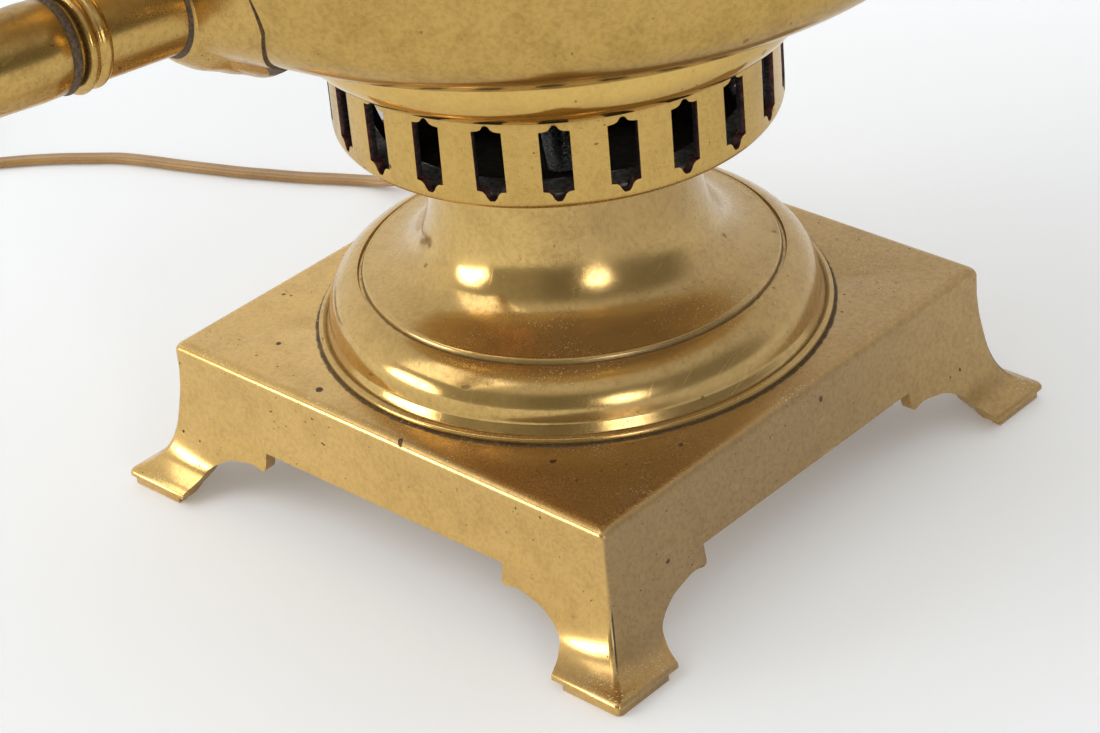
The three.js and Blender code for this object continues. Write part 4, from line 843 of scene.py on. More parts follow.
class Paints:
    """Every finish of the lamp, made once."""

    def __init__(self) -> None:
        """Make the materials."""
        # The plinth and the pedestal get painted shade on their right side.
        self.plinth = brass("plinth", (0.76, 0.50, 0.175), film=0.04, settled=0.12, dull_side=0.36, dust=0.9,
                            seam=True, grime=DarkBands.PLINTH, roughness=0.17, mottle=0.6, pits=1.0)
        self.pedestal = brass("pedestal", (0.66, 0.44, 0.15), film=0.04, settled=0.2, roughness=0.09,
                              dull_side=0.16, grime=DarkBands.PEDESTAL, mottle=0.65, dust=0.5)
        self.ring = brass("ring", (0.64, 0.415, 0.12), grime=DarkBands.RING, roughness=0.22, mottle=0.5, pits=0.9)
        self.collar = brass("collar", (0.71, 0.47, 0.138), grime=DarkBands.COLLAR, roughness=0.08, mottle=0.4,
                            film=0.04)
        self.urn = brass("urn", (0.57, 0.365, 0.10), roughness=0.12, mottle=0.85, pits=0.5, grime=DarkBands.URN)
        self.tap = brass("tap", (0.60, 0.385, 0.115), roughness=0.2, mottle=0.8, pits=0.8)
        self.bright = brass("fittings", (0.64, 0.425, 0.13), roughness=0.22, mottle=0.5, pits=0.3)
        self.stain = Paint(StainFinish().make(), "brass")
        self.residue = plain("brass", "residue_brown", (0.030, 0.017, 0.008), (0.16, 0.095, 0.040),
                             grain=1400.0, roughness=0.6, depth=0.00002)
        self.grey = plain("grey_metal", "floor_grey", (0.10, 0.10, 0.103), (0.34, 0.335, 0.33), grain=620.0,
                          roughness=0.55, metallic=0.4, depth=0.0004)
        self.mirror = plain("soot_black", "disc_black", (0.52, 0.52, 0.525), (0.46, 0.46, 0.465), grain=300.0,
                            roughness=0.02, metallic=1.0, depth=0.000001, vary=0.02)
        self.rod = plain("steel", "rod_black", (0.24, 0.24, 0.235), (0.32, 0.315, 0.31), grain=900.0,
                         roughness=0.26, metallic=1.0, depth=0.00006)
        self.steel = plain("steel", "steel_dull", (0.42, 0.41, 0.39), (0.30, 0.29, 0.27), grain=700.0,
                           roughness=0.38, metallic=1.0, depth=0.00006)
        self.bulb_cap = plain("bulb_metal", "cap_bright", (0.62, 0.61, 0.58), (0.5, 0.49, 0.46),
                              roughness=0.25, metallic=1.0, depth=0.00004)
        self.wood = plain("dark_wood", "grip_wood", (0.085, 0.035, 0.014), (0.19, 0.085, 0.035), grain=1.0,
                          roughness=0.4, depth=0.00016, stretch=(120.0, 30.0, 260.0), coat=0.35, low=0.3,
                          high=0.75)
        self.dark = plain("dark_plastic", "plastic_dark", (0.012, 0.010, 0.009), (0.026, 0.021, 0.018),
                          grain=900.0, roughness=0.42)
        self.brown = plain("brown_plastic", "plastic_brown", (0.055, 0.028, 0.014), (0.08, 0.042, 0.022),
                           grain=700.0, roughness=0.36, coat=0.2)
        self.blade = plain("blade_brass", "blade_brass", (0.72, 0.55, 0.27), (0.6, 0.43, 0.19), grain=800.0,
                           roughness=0.28, metallic=1.0, depth=0.00004)
        self.flex = Paint(FlexFinish().make(), "flex")
        self.glass = Paint(GlassFinish().make(), "bulb_glass")
        self.card = Paint(CardFinish().make(), "shade_card")
        lining = CardFinish("shade_lining", (0.86, 0.84, 0.78), (0.80, 0.78, 0.72))
        self.lining = Paint(lining.make(), "shade_card")
        self.tape = plain("shade_card", "shade_tape", (0.36, 0.25, 0.13), (0.27, 0.18, 0.09), grain=1200.0,
                          roughness=0.8, depth=0.0002)


def shares(points: Sequence[Pair], across: float, up: float, base: float = 0.0) -> list[Pair]:
    """Scale shares of a radius and a height into millimetres."""
    return [(r * across, base + z * up) for r, z in points]


def runs_of(points: Sequence[Pair], *breaks: int) -> list[Sequence[Pair]]:
    """Split a profile into runs that meet at the numbered points."""
    marks = [0, *breaks, len(points) - 1]
    return [points[a:b + 1] for a, b in zip(marks, marks[1:])]


def inward(outer: Sequence[Pair], wall: float, every: int = 3) -> list[Pair]:
    """Return an inner line one wall inside a turned outer line, thinned out."""
    inner: list[Pair] = []
    last = len(outer) - 1
    for i in [*range(0, last, every), last]:
        (r0, z0), (r1, z1) = outer[max(i - 1, 0)], outer[min(i + 1, last)]
        size = max(math.hypot(r1 - r0, z1 - z0), 1e-9)
        inner.append((max(outer[i][0] - wall * (z1 - z0) / size, 0.2), outer[i][1] + wall * (r1 - r0) / size))
    return inner


def facing(degrees: float) -> Matrix:
    """Return a turn about the lamp's axis."""
    return Matrix.Rotation(math.radians(degrees), 4, "Z")


ALONG_X = Matrix.Rotation(math.radians(90), 4, "Y")
ALONG_Y = Matrix.Rotation(math.radians(-90), 4, "X")
UPRIGHT = Matrix.Rotation(math.radians(90), 4, "X")


@dataclass
class Studio:
    """Plain pale floor, soft light and the photograph's camera."""

    camera_at: Triple = (0.49403, -0.51042, 0.45988)
    right: Triple = (0.74123, 0.66668, -0.07815)
    up: Triple = (-0.30163, 0.43482, 0.84850)
    back: Triple = (0.59965795, -0.60536894, 0.52339163)
    lens: float = 103.03
    floor_tone: Color = (0.80, 0.81, 0.83)
    floor_seen: Color = (0.925, 0.96, 1.0)
    floor_glow: float = 0.12
    floor_reach: float = 14.0
    window_glow: float = 9.0

    def camera(self) -> None:
        """Place the camera where the photograph was taken from."""
        eye = bpy.data.cameras.new("photo_view")
        eye.lens = self.lens
        eye.sensor_width = 36.0
        eye.clip_start = 0.02
        eye.clip_end = 60.0
        view = linked("photo_view", eye)
        columns = Matrix((self.right, self.up, self.back)).transposed()
        view.matrix_world = Matrix.Translation(self.camera_at) @ columns.to_4x4()
        bpy.context.scene.camera = view

    def floor(self) -> None:
        """Lay the pale floor that the lamp stands on."""
        reach = self.floor_reach
        data = bpy.data.meshes.new("floor")
        data.from_pydata([(-reach, -reach, 0), (reach, -reach, 0), (reach, reach, 0), (-reach, reach, 0)], [],
                         [(0, 1, 2, 3)])
        ground = linked("floor", data)
        ground.location.z = -0.0002
        material, g = surface("floor_paper")
        path = g.node("LightPath").outputs
        seen = g.most(path["Is Camera Ray"], path["Is Glossy Ray"], path["Is Transmission Ray"])
        paper = g.node("BsdfDiffuse", {"Color": g.blend(seen, self.floor_tone, self.floor_seen)})
        lift = g.plus(self.floor_glow, g.step(g.axes()[1], 0.0, 0.6, 0.0, 0.12))
        glow = g.node("Emission", {"Strength": g.times(seen, lift)})
        both = g.node("AddShader", {0: paper.outputs[0], 1: glow.outputs[0]})
        out = g.node("OutputMaterial")
        g.tree.links.new(both.outputs[0], out.inputs[0])
        data.materials.append(material)

    def sky(self) -> None:
        """Set the room that the brass mirrors: pale behind, darker in front, two windows."""
        world = bpy.data.worlds.new("room")
        world.use_nodes = True
        bpy.context.scene.world = world
        g = Graph(world.node_tree)
        way = g.node("TexCoord").outputs["Generated"]
        rise = g.node("SeparateXYZ", {0: way}).outputs[2]

        def toward(x: float, y: float, z: float) -> Socket:
            """Return how closely a direction points to x, y, z."""
            aim = Vector((x, y, z)).normalized()
            return g.node("VectorMath", {0: way, 1: tuple(aim)}, operation="DOT_PRODUCT").outputs[1]

        front = g.step(toward(0.704, -0.710, 0.0), -0.25, 0.25)
        dark = g.step(toward(0.97, -0.25, 0.25), 0.35, 0.8)
        room = g.blend(dark, (0.36, 0.35, 0.32), (0.13, 0.125, 0.105))
        room = g.blend(front, (0.95, 0.955, 0.96), room)
        room = g.blend(g.step(rise, 0.45, 0.75), room, (0.78, 0.78, 0.77))
        room = g.blend(g.step(rise, -0.015, 0.0), (0.86, 0.865, 0.87), room)
        glow = g.times(g.step(toward(-0.583, -0.809, 0.05), 0.965, 0.985), self.window_glow)
        side = g.times(g.step(toward(0.863, -0.462, 0.208), 0.984, 0.994), self.window_glow)
        above = g.times(g.step(rise, 0.0, 0.02), g.plus(glow, side))
        seen = g.node("Background", {"Color": (0.96, 0.97, 0.985, 1.0), "Strength": 1.0})
        lit = g.node("Background", {"Color": room, "Strength": 1.0})
        lamps = g.node("Background", {"Color": (1.0, 0.985, 0.96, 1.0), "Strength": above})
        both = g.node("AddShader", {0: lit.outputs[0], 1: lamps.outputs[0]})
        path = g.node("LightPath")
        shown = path.outputs["Is Camera Ray"]
        mixed = g.node("MixShader", {0: shown, 1: both.outputs[0], 2: seen.outputs[0]})
        out = g.node("OutputWorld")
        g.tree.links.new(mixed.outputs[0], out.inputs[0])

    def lamp(self, name: str, at: Triple, size: float, power: float, tone: Color) -> None:
        """Hang one soft square lamp that faces the object."""
        light = bpy.data.lights.new(name, "AREA")
        light.size = size
        light.energy = power
        light.color = tone
        hung = linked(name, light)
        hung.location = at
        hung.rotation_euler = (Vector((0.0, 0.0, 0.2)) - Vector(at)).to_track_quat("-Z", "Y").to_euler()

    def build(self) -> None:
        """Make the camera, floor, room and lamps."""
        bpy.context.scene.view_settings.view_transform = "Standard"
        self.camera()
        self.floor()
        self.sky()
        self.lamp("key_soft", (-0.9, -1.6, 1.9), 1.6, 16.0, (1.0, 0.99, 0.97))
        LOG.info("studio ready")


@dataclass
class Lead:
    """Flat gold-brown twin flex with its strain relief, tied coil and plug."""

    paints: Paints
    width: float = 4.8
    thick: float = 2.4
    gap: float = 0.3
    exit_at: Triple = (-75.0, 62.0, 28.0)
    nose: float = 20.0
    run: tuple[Triple, ...] = (
        (-98.9, 62, 28), (-106, 62.3, 26.7), (-113.5, 63.8, 22.9), (-121, 66.1, 17), (-128.4, 68.5, 11.1),
        (-135.8, 70.2, 6.2), (-143.8, 70.7, 2.9), (-152.2, 68.9, 1.4), (-160.1, 65.1, 1.25),
        (-171.7, 58.9, 1.25), (-180.9, 54.7, 1.25), (-190.2, 50.5, 1.25), (-200, 46.7, 1.25),
        (-210, 42.9, 1.25), (-220.2, 39.3, 1.25), (-230, 35.2, 1.25), (-238.3, 29.7, 1.25),
        (-246.4, 24, 1.25), (-253.9, 17.8, 1.25), (-260.9, 11.1, 1.25), (-267.9, 3.9, 1.25),
        (-274.6, -3.7, 1.25), (-281, -11.2, 1.25), (-287.2, -18.5, 1.25))
    coil_start: Triple = (-290.6, -22.5, 1.25)
    heading: float = -130.4
    turns: int = 8
    inner: float = 18.5
    pitch: float = 5.3
    layer: float = 2.95
    tuck: float = 2.7
    steps: int = 48
    crossing: Pair = (0.47, 0.22)
    climb: float = 0.5
    tail: tuple[Triple, ...] = (
        (-300, -33.5, 4.4), (-303.6, -37.4, 4.2), (-308.5, -42, 3.2), (-314.4, -46.2, 1.8),
        (-321.4, -49.6, 1.25), (-329.5, -51.4, 1.3), (-337.5, -52, 2.6), (-345, -52, 5.2), (-350.5, -52, 6.4))
    tie_width: float = 4.5
    tie_wall: float = 1.1
    tie_turn: float = 200.0
    plug_at: Triple = (-350.8, -52.0, 6.4)
    plug_size: Triple = (34.0, 25.0, 13.0)
    plug_neck: tuple[Triple, ...] = ((0, .3, .42), (.1, .42, .56), (.28, .8, .86), (.45, 1, 1))
    plug_grooves: tuple[Triple, ...] = (
        (.45, 1, 1), (.52, .95, .96), (.58, .985, .985), (.64, .95, .96), (.7, .985, .985), (.76, .96, .96),
        (.86, 1, 1), (.95, .96, .93), (1, .86, .8))
    blade: Triple = (18.0, 6.3, 1.5)
    blade_spacing: float = 12.7

    def centre(self) -> Vector:
        """Return the coil's centre on the floor plane."""
        ahead = self.ahead()
        first = Vector(self.coil_start) + ahead * self.width
        return first + Vector((ahead.y, -ahead.x, 0)) * (self.inner + self.pitch * self.turns / 2)

    def ahead(self) -> Vector:
        """Return the way the lead enters and leaves the coil."""
        angle = math.radians(self.heading)
        return Vector((math.cos(angle), math.sin(angle), 0))

    def coil(self) -> list[Vector]:
        """Return the two-layer coil's centreline."""
        def ease(share: float) -> float:
            """Ease a share in and out."""
            return (1 - math.cos(math.pi * min(max(share, 0.0), 1.0))) / 2

        ahead, centre = self.ahead(), self.centre()
        level = self.coil_start[2]
        until, soft = self.crossing
        points: list[Vector] = []
        for i in range(self.turns * self.steps + 1):
            turned = i / self.steps
            away = abs(turned - self.turns / 2)
            radius = self.inner + self.pitch * away - self.tuck * ease((until - away) / soft)
            angle = math.radians(self.heading + 90) - turned * 2 * math.pi
            rise = self.layer * ease((turned - self.turns / 2 + self.climb / 2) / self.climb)
            points.append(Vector((centre.x + radius * math.cos(angle), centre.y + radius * math.sin(angle),
                                  level + rise)))
        points.append(points[-1] + ahead * self.width)
        return points

    def route(self) -> list[Triple]:
        """Return the whole centreline from the strain relief to the plug."""
        coil = self.coil()
        start = catmull([*self.run, self.coil_start], 8)
        end = catmull([coil[-1], *self.tail], 6)
        points = [*start[:-1], self.coil_start, *coil[1:], *end[1:]]
        return [tuple(Vector(p)) for p in points]

    def section(self) -> list[Pair]:
        """Return the twin flex's section: two round cores side by side."""
        lobe = self.thick / 2
        reach = self.width / 2 - lobe
        waist, steps = 118, 8
        points: list[Pair] = []
        for side in (1, -1):
            for k in range(steps + 1):
                angle = math.radians(-waist + 2 * waist * k / steps)
                points.append((side * (reach + lobe * math.cos(angle)), side * lobe * math.sin(angle)))
        return points

    def build(self) -> None:
        """Make the lead, strain relief, tie and plug."""
        route = self.route()
        flex = Shape.swept("lead_flex", route, self.section(), level=True, sharp=60)
        flex = keep(flex, self.paints.flex, "cord_run", "cord_coil", "cord_tail")
        parts = [self.relief(), self.tie(), self.plug(), *self.blades()]

    def relief(self) -> Piece:
        """Make the tapered strain relief in the plinth's wall."""
        face, neck, ribs = 1.4, 4.6, 9
        flange = face + 1.8
        profile = [(0, -12), (neck, -12), (neck, face), (6.3, face), (6.6, 1.7), (6.6, flange - 0.4),
                   (6.2, flange), (neck, flange)]
        for k in range(ribs):
            z = flange + 0.5 + (self.nose - 1.2) * k / ribs
            radius = 4.55 - 1.25 * (k + 0.5) / ribs
            profile += [(radius - 0.4, z), (radius, z + 0.25), (radius - 0.05, z + 1.1),
                        (radius - 0.45, z + 1.35)]
        profile += [(3.2, flange + self.nose - 0.4), (2.9, flange + self.nose), (0, flange + self.nose)]
        place = Matrix.Translation(self.exit_at) @ Matrix.Rotation(math.radians(-90), 4, "Y")
        piece = Shape.turned("strain_relief", profile, 48, place)
        return keep(piece, self.paints.dark, "cord_bushing")

    def tie(self) -> Piece:
        """Make the band that holds the coil."""
        centre = self.centre()
        low, slack, wall = 0.175, 0.35, self.tie_wall
        inner = self.inner - self.tuck - self.width / 2 - slack
        outer = self.inner + self.pitch * self.turns / 2 + self.width / 2 + slack
        top = self.coil_start[2] + self.layer + self.thick / 2 + slack
        corners = [(inner - wall, low), (inner, low), (inner, top), (outer, top), (outer, low),
                   (outer + wall, low), (outer + wall, top + wall), (inner - wall, top + wall)]
        shape = rounded(corners, 0.9, 4, True)
        place = Matrix.Translation((centre.x, centre.y, 0)) @ facing(self.tie_turn) @ UPRIGHT
        piece = Shape.plate("coil_band", shape, [], self.tie_width, 0.25, place)
        return keep(piece, self.paints.dark, "coil_tie")

    def plug(self) -> Piece:
        """Make the moulded plug body with finger grooves."""
        length, width, thick = self.plug_size
        stations = [*catmull(self.plug_neck, 6), *catmull(self.plug_grooves, 5)[1:]]
        sections = []
        for share, across, tall in stations:
            half, rise = width / 2 * across, thick / 2 * tall
            corners = [(half, rise), (-half, rise), (-half, -rise), (half, -rise)]
            ring = rounded(corners, min(half, rise) * 1.152, 7, True)
            sections.append([(-share * length, y, z) for y, z in ring])
        piece = Shape.lofted("plug_moulding", sections, Matrix.Translation(self.plug_at), 50)
        return keep(piece, self.paints.brown, "plug_body")

    def blades(self) -> list[Piece]:
        """Make the plug's two drilled blades."""
        length, width, thick = self.blade
        made = []
        for index, sign in enumerate((1, -1)):
            half, tip, bend = width / 2, width * 0.32, length * 0.86
            corners = [(0, -half), (bend, -half), (length, -tip), (length, tip), (bend, half), (0, half)]
            shape = rounded(corners, 1.2, 4, True)
            hole = circle(1.55, 20, length * 0.68)
            x, y, z = self.plug_at
            start = (x - self.plug_size[0] - self.gap, y + sign * self.blade_spacing / 2, z)
            place = Matrix.Translation(start) @ facing(180) @ UPRIGHT
            piece = Shape.plate(f"blade_{index + 1}", shape, [hole], thick, 0.2, place)
            made.append(keep(piece, self.paints.blade, f"plug_blade_{'ab'[index]}"))
        return made


@dataclass
class Plinth:
    """Square bracket-footed base with the nut and washer below it."""

    paints: Paints
    side: float = 150.0
    height: float = 42.0
    wall: float = 3.0
    top_round: float = 2.6
    corner_round: float = 1.6
    flare_height: float = 34.0
    throw: float = 12.2
    lift: float = 2.2
    apron: float = 20.5
    bracket: float = 33.3
    rod_hole: float = 5.5
    cord_hole: tuple[float, float, float] = (-75.0, 62.0, 28.0)
    flare: tuple[Pair, ...] = (
        (0, .93), (.066, .93), (.072, 1), (.092, 1), (.112, .975), (.128, .915), (.15, .79), (.18, .65),
        (.22, .52), (.27, .41), (.33, .315), (.4, .24), (.5, .165), (.62, .11), (.82, .035), (1, 0))
    ogee: tuple[Pair, ...] = (
        (1, 1), (.998, .8), (.985, .75), (.96, .735), (.93, .742), (.88, .76), (.81, .757), (.71, .722),
        (.61, .685), (.505, .6), (.43, .52), (.375, .44), (.345, .35), (.31, .265), (.288, .21), (.28, .12),
        (.2, .115), (.2, -.3))

    def section(self, half: float, radius: float, z: float) -> list[Triple]:
        """Return a square section with rounded corners."""
        points: list[Triple] = []
        for corner in range(4):
            turn = corner * math.pi / 2
            cx = (half - radius) * math.sqrt(2) * math.cos(turn + math.pi / 4)
            cy = (half - radius) * math.sqrt(2) * math.sin(turn + math.pi / 4)
            for k in range(6):
                angle = turn + k / 5 * math.pi / 2
                points.append((cx + radius * math.cos(angle), cy + radius * math.sin(angle), z))
        return points

    def flare_at(self, level: float) -> float:
        """Return how far the wall stands out at a level."""
        share = level / self.flare_height
        for (z0, e0), (z1, e1) in zip(self.flare, self.flare[1:]):
            if z0 <= share < z1:
                return self.throw * (e0 + (e1 - e0) * (share - z0) / (z1 - z0))
        return 0.0

    def build(self) -> None:
        """Make the plinth shell and what is fixed under it."""
        half = self.side / 2
        line = outline(*runs_of(self.flare, 1, 3), steps=4)
        outer = [self.section(half + e * self.throw, self.corner_round, z * self.flare_height)
                 for z, e in line]
        for k in range(8):
            angle = k / 7 * math.pi / 2
            inset = self.top_round * (1 - math.cos(angle))
            level = self.height - self.top_round * (1 - math.sin(angle))
            outer.append(self.section(half - inset, self.corner_round, level))
        shell = Shape.lofted("plinth_shell", outer)
        shell.data.materials.append(self.paints.plinth.material)
        levels = [-2.0, *(s * self.flare_height for s in (.05, .09, .15, .22, .33, .5, .82, 1))]
        inner = [self.section(half + self.flare_at(max(z, 0) + self.lift) - self.wall, 0.8, z)
                 for z in levels]
        inner.append(self.section(half - self.wall, 0.8, self.height - self.wall))
        hollow = Shape.lofted("hollow", inner)
        right = [(half - u * self.bracket, z * self.apron)
                 for u, z in outline(*runs_of(self.ogee, 1, 14, 15, 16), steps=4)]
        arch = [*right, *[(-x, z) for x, z in reversed(right)]]
        cutters = [hollow]
        for turn in (0, 90):
            ends = [[(x, y, z) for x, z in arch] for y in (-half - 20, half + 20)]
            cutters.append(Shape.lofted("arch", ends, facing(turn)))
        cutters.append(Shape.drill("rod_way", self.rod_hole, 30, 50))
        x, y, z = self.cord_hole
        way = Matrix.Translation((x, y, z)) @ ALONG_X
        cutters.append(Shape.drill("cord_way", 4.9, -8, 8, way))
        piece = Shape.carved(shell, *cutters, bevel=0.3)
        keep(piece, self.paints.plinth, "plinth")
        self.fixings()

    def fixings(self) -> None:
        """Make the washer and nut that hold the rod under the plinth."""
        washer = slab(self.rod_hole, 19, 36.8, 39, 0.3, 2)
        keep(Shape.turned("under_washer", washer, 96), self.paints.steel, "base_washer")
        levels = ((31.3, .93), (32.0, 1), (36.1, 1), (36.8, .93))
        rings = [[(x, y, z) for x, y in circle(9.5 * s, 6)] for z, s in levels]
        nut = Shape.lofted("under_nut", rings, None, 20)
        nut = Shape.carved(nut, Shape.drill("nut_way", self.rod_hole, 28, 40))
        keep(nut, self.paints.steel, "base_nut")


@dataclass
class Pedestal:
    """Turned pedestal: foot lip, quarter-round moulding and trumpet."""

    paints: Paints
    radius: float = 67.5
    height: float = 59.4
    base: float = 42.0
    wall: float = 3.0
    line: tuple[Pair, ...] = (
        (.996, 0), (1, .013), (.996, .027), (.982, .032), (.969, .024), (.964, .04), (.956, .06),
        (.953, .068), (.943, .135), (.917, .195), (.876, .239), (.84, .259), (.826, .262), (.82, .25),
        (.81, .252), (.806, .272), (.8, .28), (.791, .2795), (.711, .2997), (.652, .33), (.6, .379),
        (.563, .446), (.536, .53), (.5185, .623), (.507, .741), (.501, .859), (.498, 1))

    def build(self) -> None:
        """Make the pedestal."""
        points = shares(self.line, self.radius, self.height, self.base)
        outer = outline(*runs_of(points, 3, 4, 5, 7, 12, 13, 14, 15, 17), steps=6)
        inner = inward(points[::3], self.wall, 1)
        inner[0] = (inner[0][0], self.base)
        inner[-1] = (inner[-1][0], self.base + self.height)
        piece = Shape.turned("pedestal_turning", [*outer, *reversed(inner)], 200, sharp=30)
        keep(piece, self.paints.pedestal, "pedestal")


@dataclass
class VentRing:
    """Pierced ring with shaped windows, its floor plate, heat disc and the threaded rod."""

    paints: Paints
    radius: float = 57.1
    base: float = 101.4
    height: float = 26.6
    wall: float = 2.4
    floor: float = 2.4
    bottom_round: float = 2.2
    lip: float = 3.7
    lip_height: float = 5.2
    count: int = 22
    window: Pair = (7.4, 15.6)
    centre: float = 13.0
    head: float = 1.8
    sill: float = 2.6
    turn: float = -47.6
    seed: int = 11
    rod_hole: float = 5.5
    head_line: tuple[Pair, ...] = ((1, 0), (.62, .1), (.36, .34), (.2, .8), (.07, 1))
    sill_line: tuple[Pair, ...] = ((1, 0), (.66, .06), (.47, .3), (.33, .7), (.16, 1))

    def window_outline(self, rng: random.Random) -> list[Pair]:
        """Return one slightly uneven window outline."""
        half, rise = self.window[0] / 2, self.window[1] / 2
        def line(points: Sequence[Pair], sign: int, tall: float) -> list[Pair]:
            """Return one ogee end, right side first."""
            run = [(x * half, sign * (rise + z * tall)) for x, z in points]
            smooth = outline(run[:2], run[1:], steps=4)
            return [*smooth, *[(-x, z) for x, z in reversed(smooth)]]
        head = line(self.head_line, 1, self.head)
        sill = [(-x, z) for x, z in line(self.sill_line, -1, self.sill)]
        lean = rng.uniform(-0.012, 0.012)
        wide, tall = 1 + rng.uniform(-0.015, 0.015), 1 + rng.uniform(-0.01, 0.01)
        return [((x + z * lean) * wide, z * tall) for x, z in [*head, *sill]]

    def build(self) -> None:
        """Make the ring and what shows through its windows."""
        top = self.base + self.height
        outer: list[Pair] = [(self.rod_hole, self.base)]
        for k in range(7):
            angle = k / 6 * math.pi / 2
            outer.append((self.radius - self.bottom_round * (1 - math.sin(angle)),
                          self.base + self.bottom_round * (1 - math.cos(angle))))
        for k in range(9):
            angle = k / 8 * math.pi / 2
            outer.append((self.radius + self.lip * (1 - math.cos(angle)),
                          top - self.lip_height * (1 - math.sin(angle))))
        inside = self.radius - self.wall
        profile = [*outer, (inside, top), (inside, self.base + self.floor),
                   (self.rod_hole, self.base + self.floor)]
        ring = Shape.turned("pierced_ring", profile, self.count * 8, facing(self.turn), sharp=30)
        ring.data.materials.append(self.paints.ring.material)
        rng = random.Random(self.seed)
        cutters = []
        for i in range(self.count):
            shape = self.window_outline(rng)
            angle = facing(self.turn + i * 360 / self.count + rng.uniform(-0.25, 0.25))
            level = self.base + self.centre
            ends = [[(r, x, level + z) for x, z in shape] for r in (inside - 5, self.radius + 5)]
            cutters.append(Shape.lofted("window", ends, angle))
        cutter = Shape.joined("windows", *cutters)
        cutter.data.materials.append(self.paints.stain.material)
        piece = Shape.carved(ring, cutter, bevel=0.28, transfer=True)
        keep(piece, self.paints.ring, "vent_ring")
        self.inside()

    def inside(self) -> None:
        """Make the floor plate, heat disc and threaded rod."""
        low = self.base + self.floor
        plate = slab(self.rod_hole, 54.2, low, low + 0.9, 0.25, 2)
        keep(Shape.turned("grey_floor", plate, 128), self.paints.grey, "ring_floor")
        disc = slab(self.rod_hole, 47.5, low + 0.9, low + 1.2, 0.1, 2)
        keep(Shape.turned("dark_disc", disc, 128), self.paints.mirror, "heat_disc")
        pitch, sides, depth = 0.9407, 40, 0.42
        levels = [27.3, 30.0, 99.0]
        levels += [99.0 + pitch * (k + 1) / 7 for k in range(int(44 / pitch * 7))]
        levels += [levels[-1] + 0.2, 440.0, 462.9]
        verts: list[Triple] = []
        for z in levels:
            for k in range(sides):
                angle = 2 * math.pi * k / sides
                wave = 0.5 - 0.5 * math.cos(2 * math.pi * (z / pitch - k / sides))
                radius = 5.15 - (depth * wave if 99.0 < z < 143.0 else 0.0)
                verts.append((radius * math.cos(angle), radius * math.sin(angle), z))
        verts += [(x, y, z) for z in (462.9, 27.3) for x, y in circle(3.2, sides)]
        rod = Shape.mesh("long_rod", verts, grid(len(levels) + 2, sides, True), None, 50)
        keep(rod, self.paints.rod, "threaded_rod")


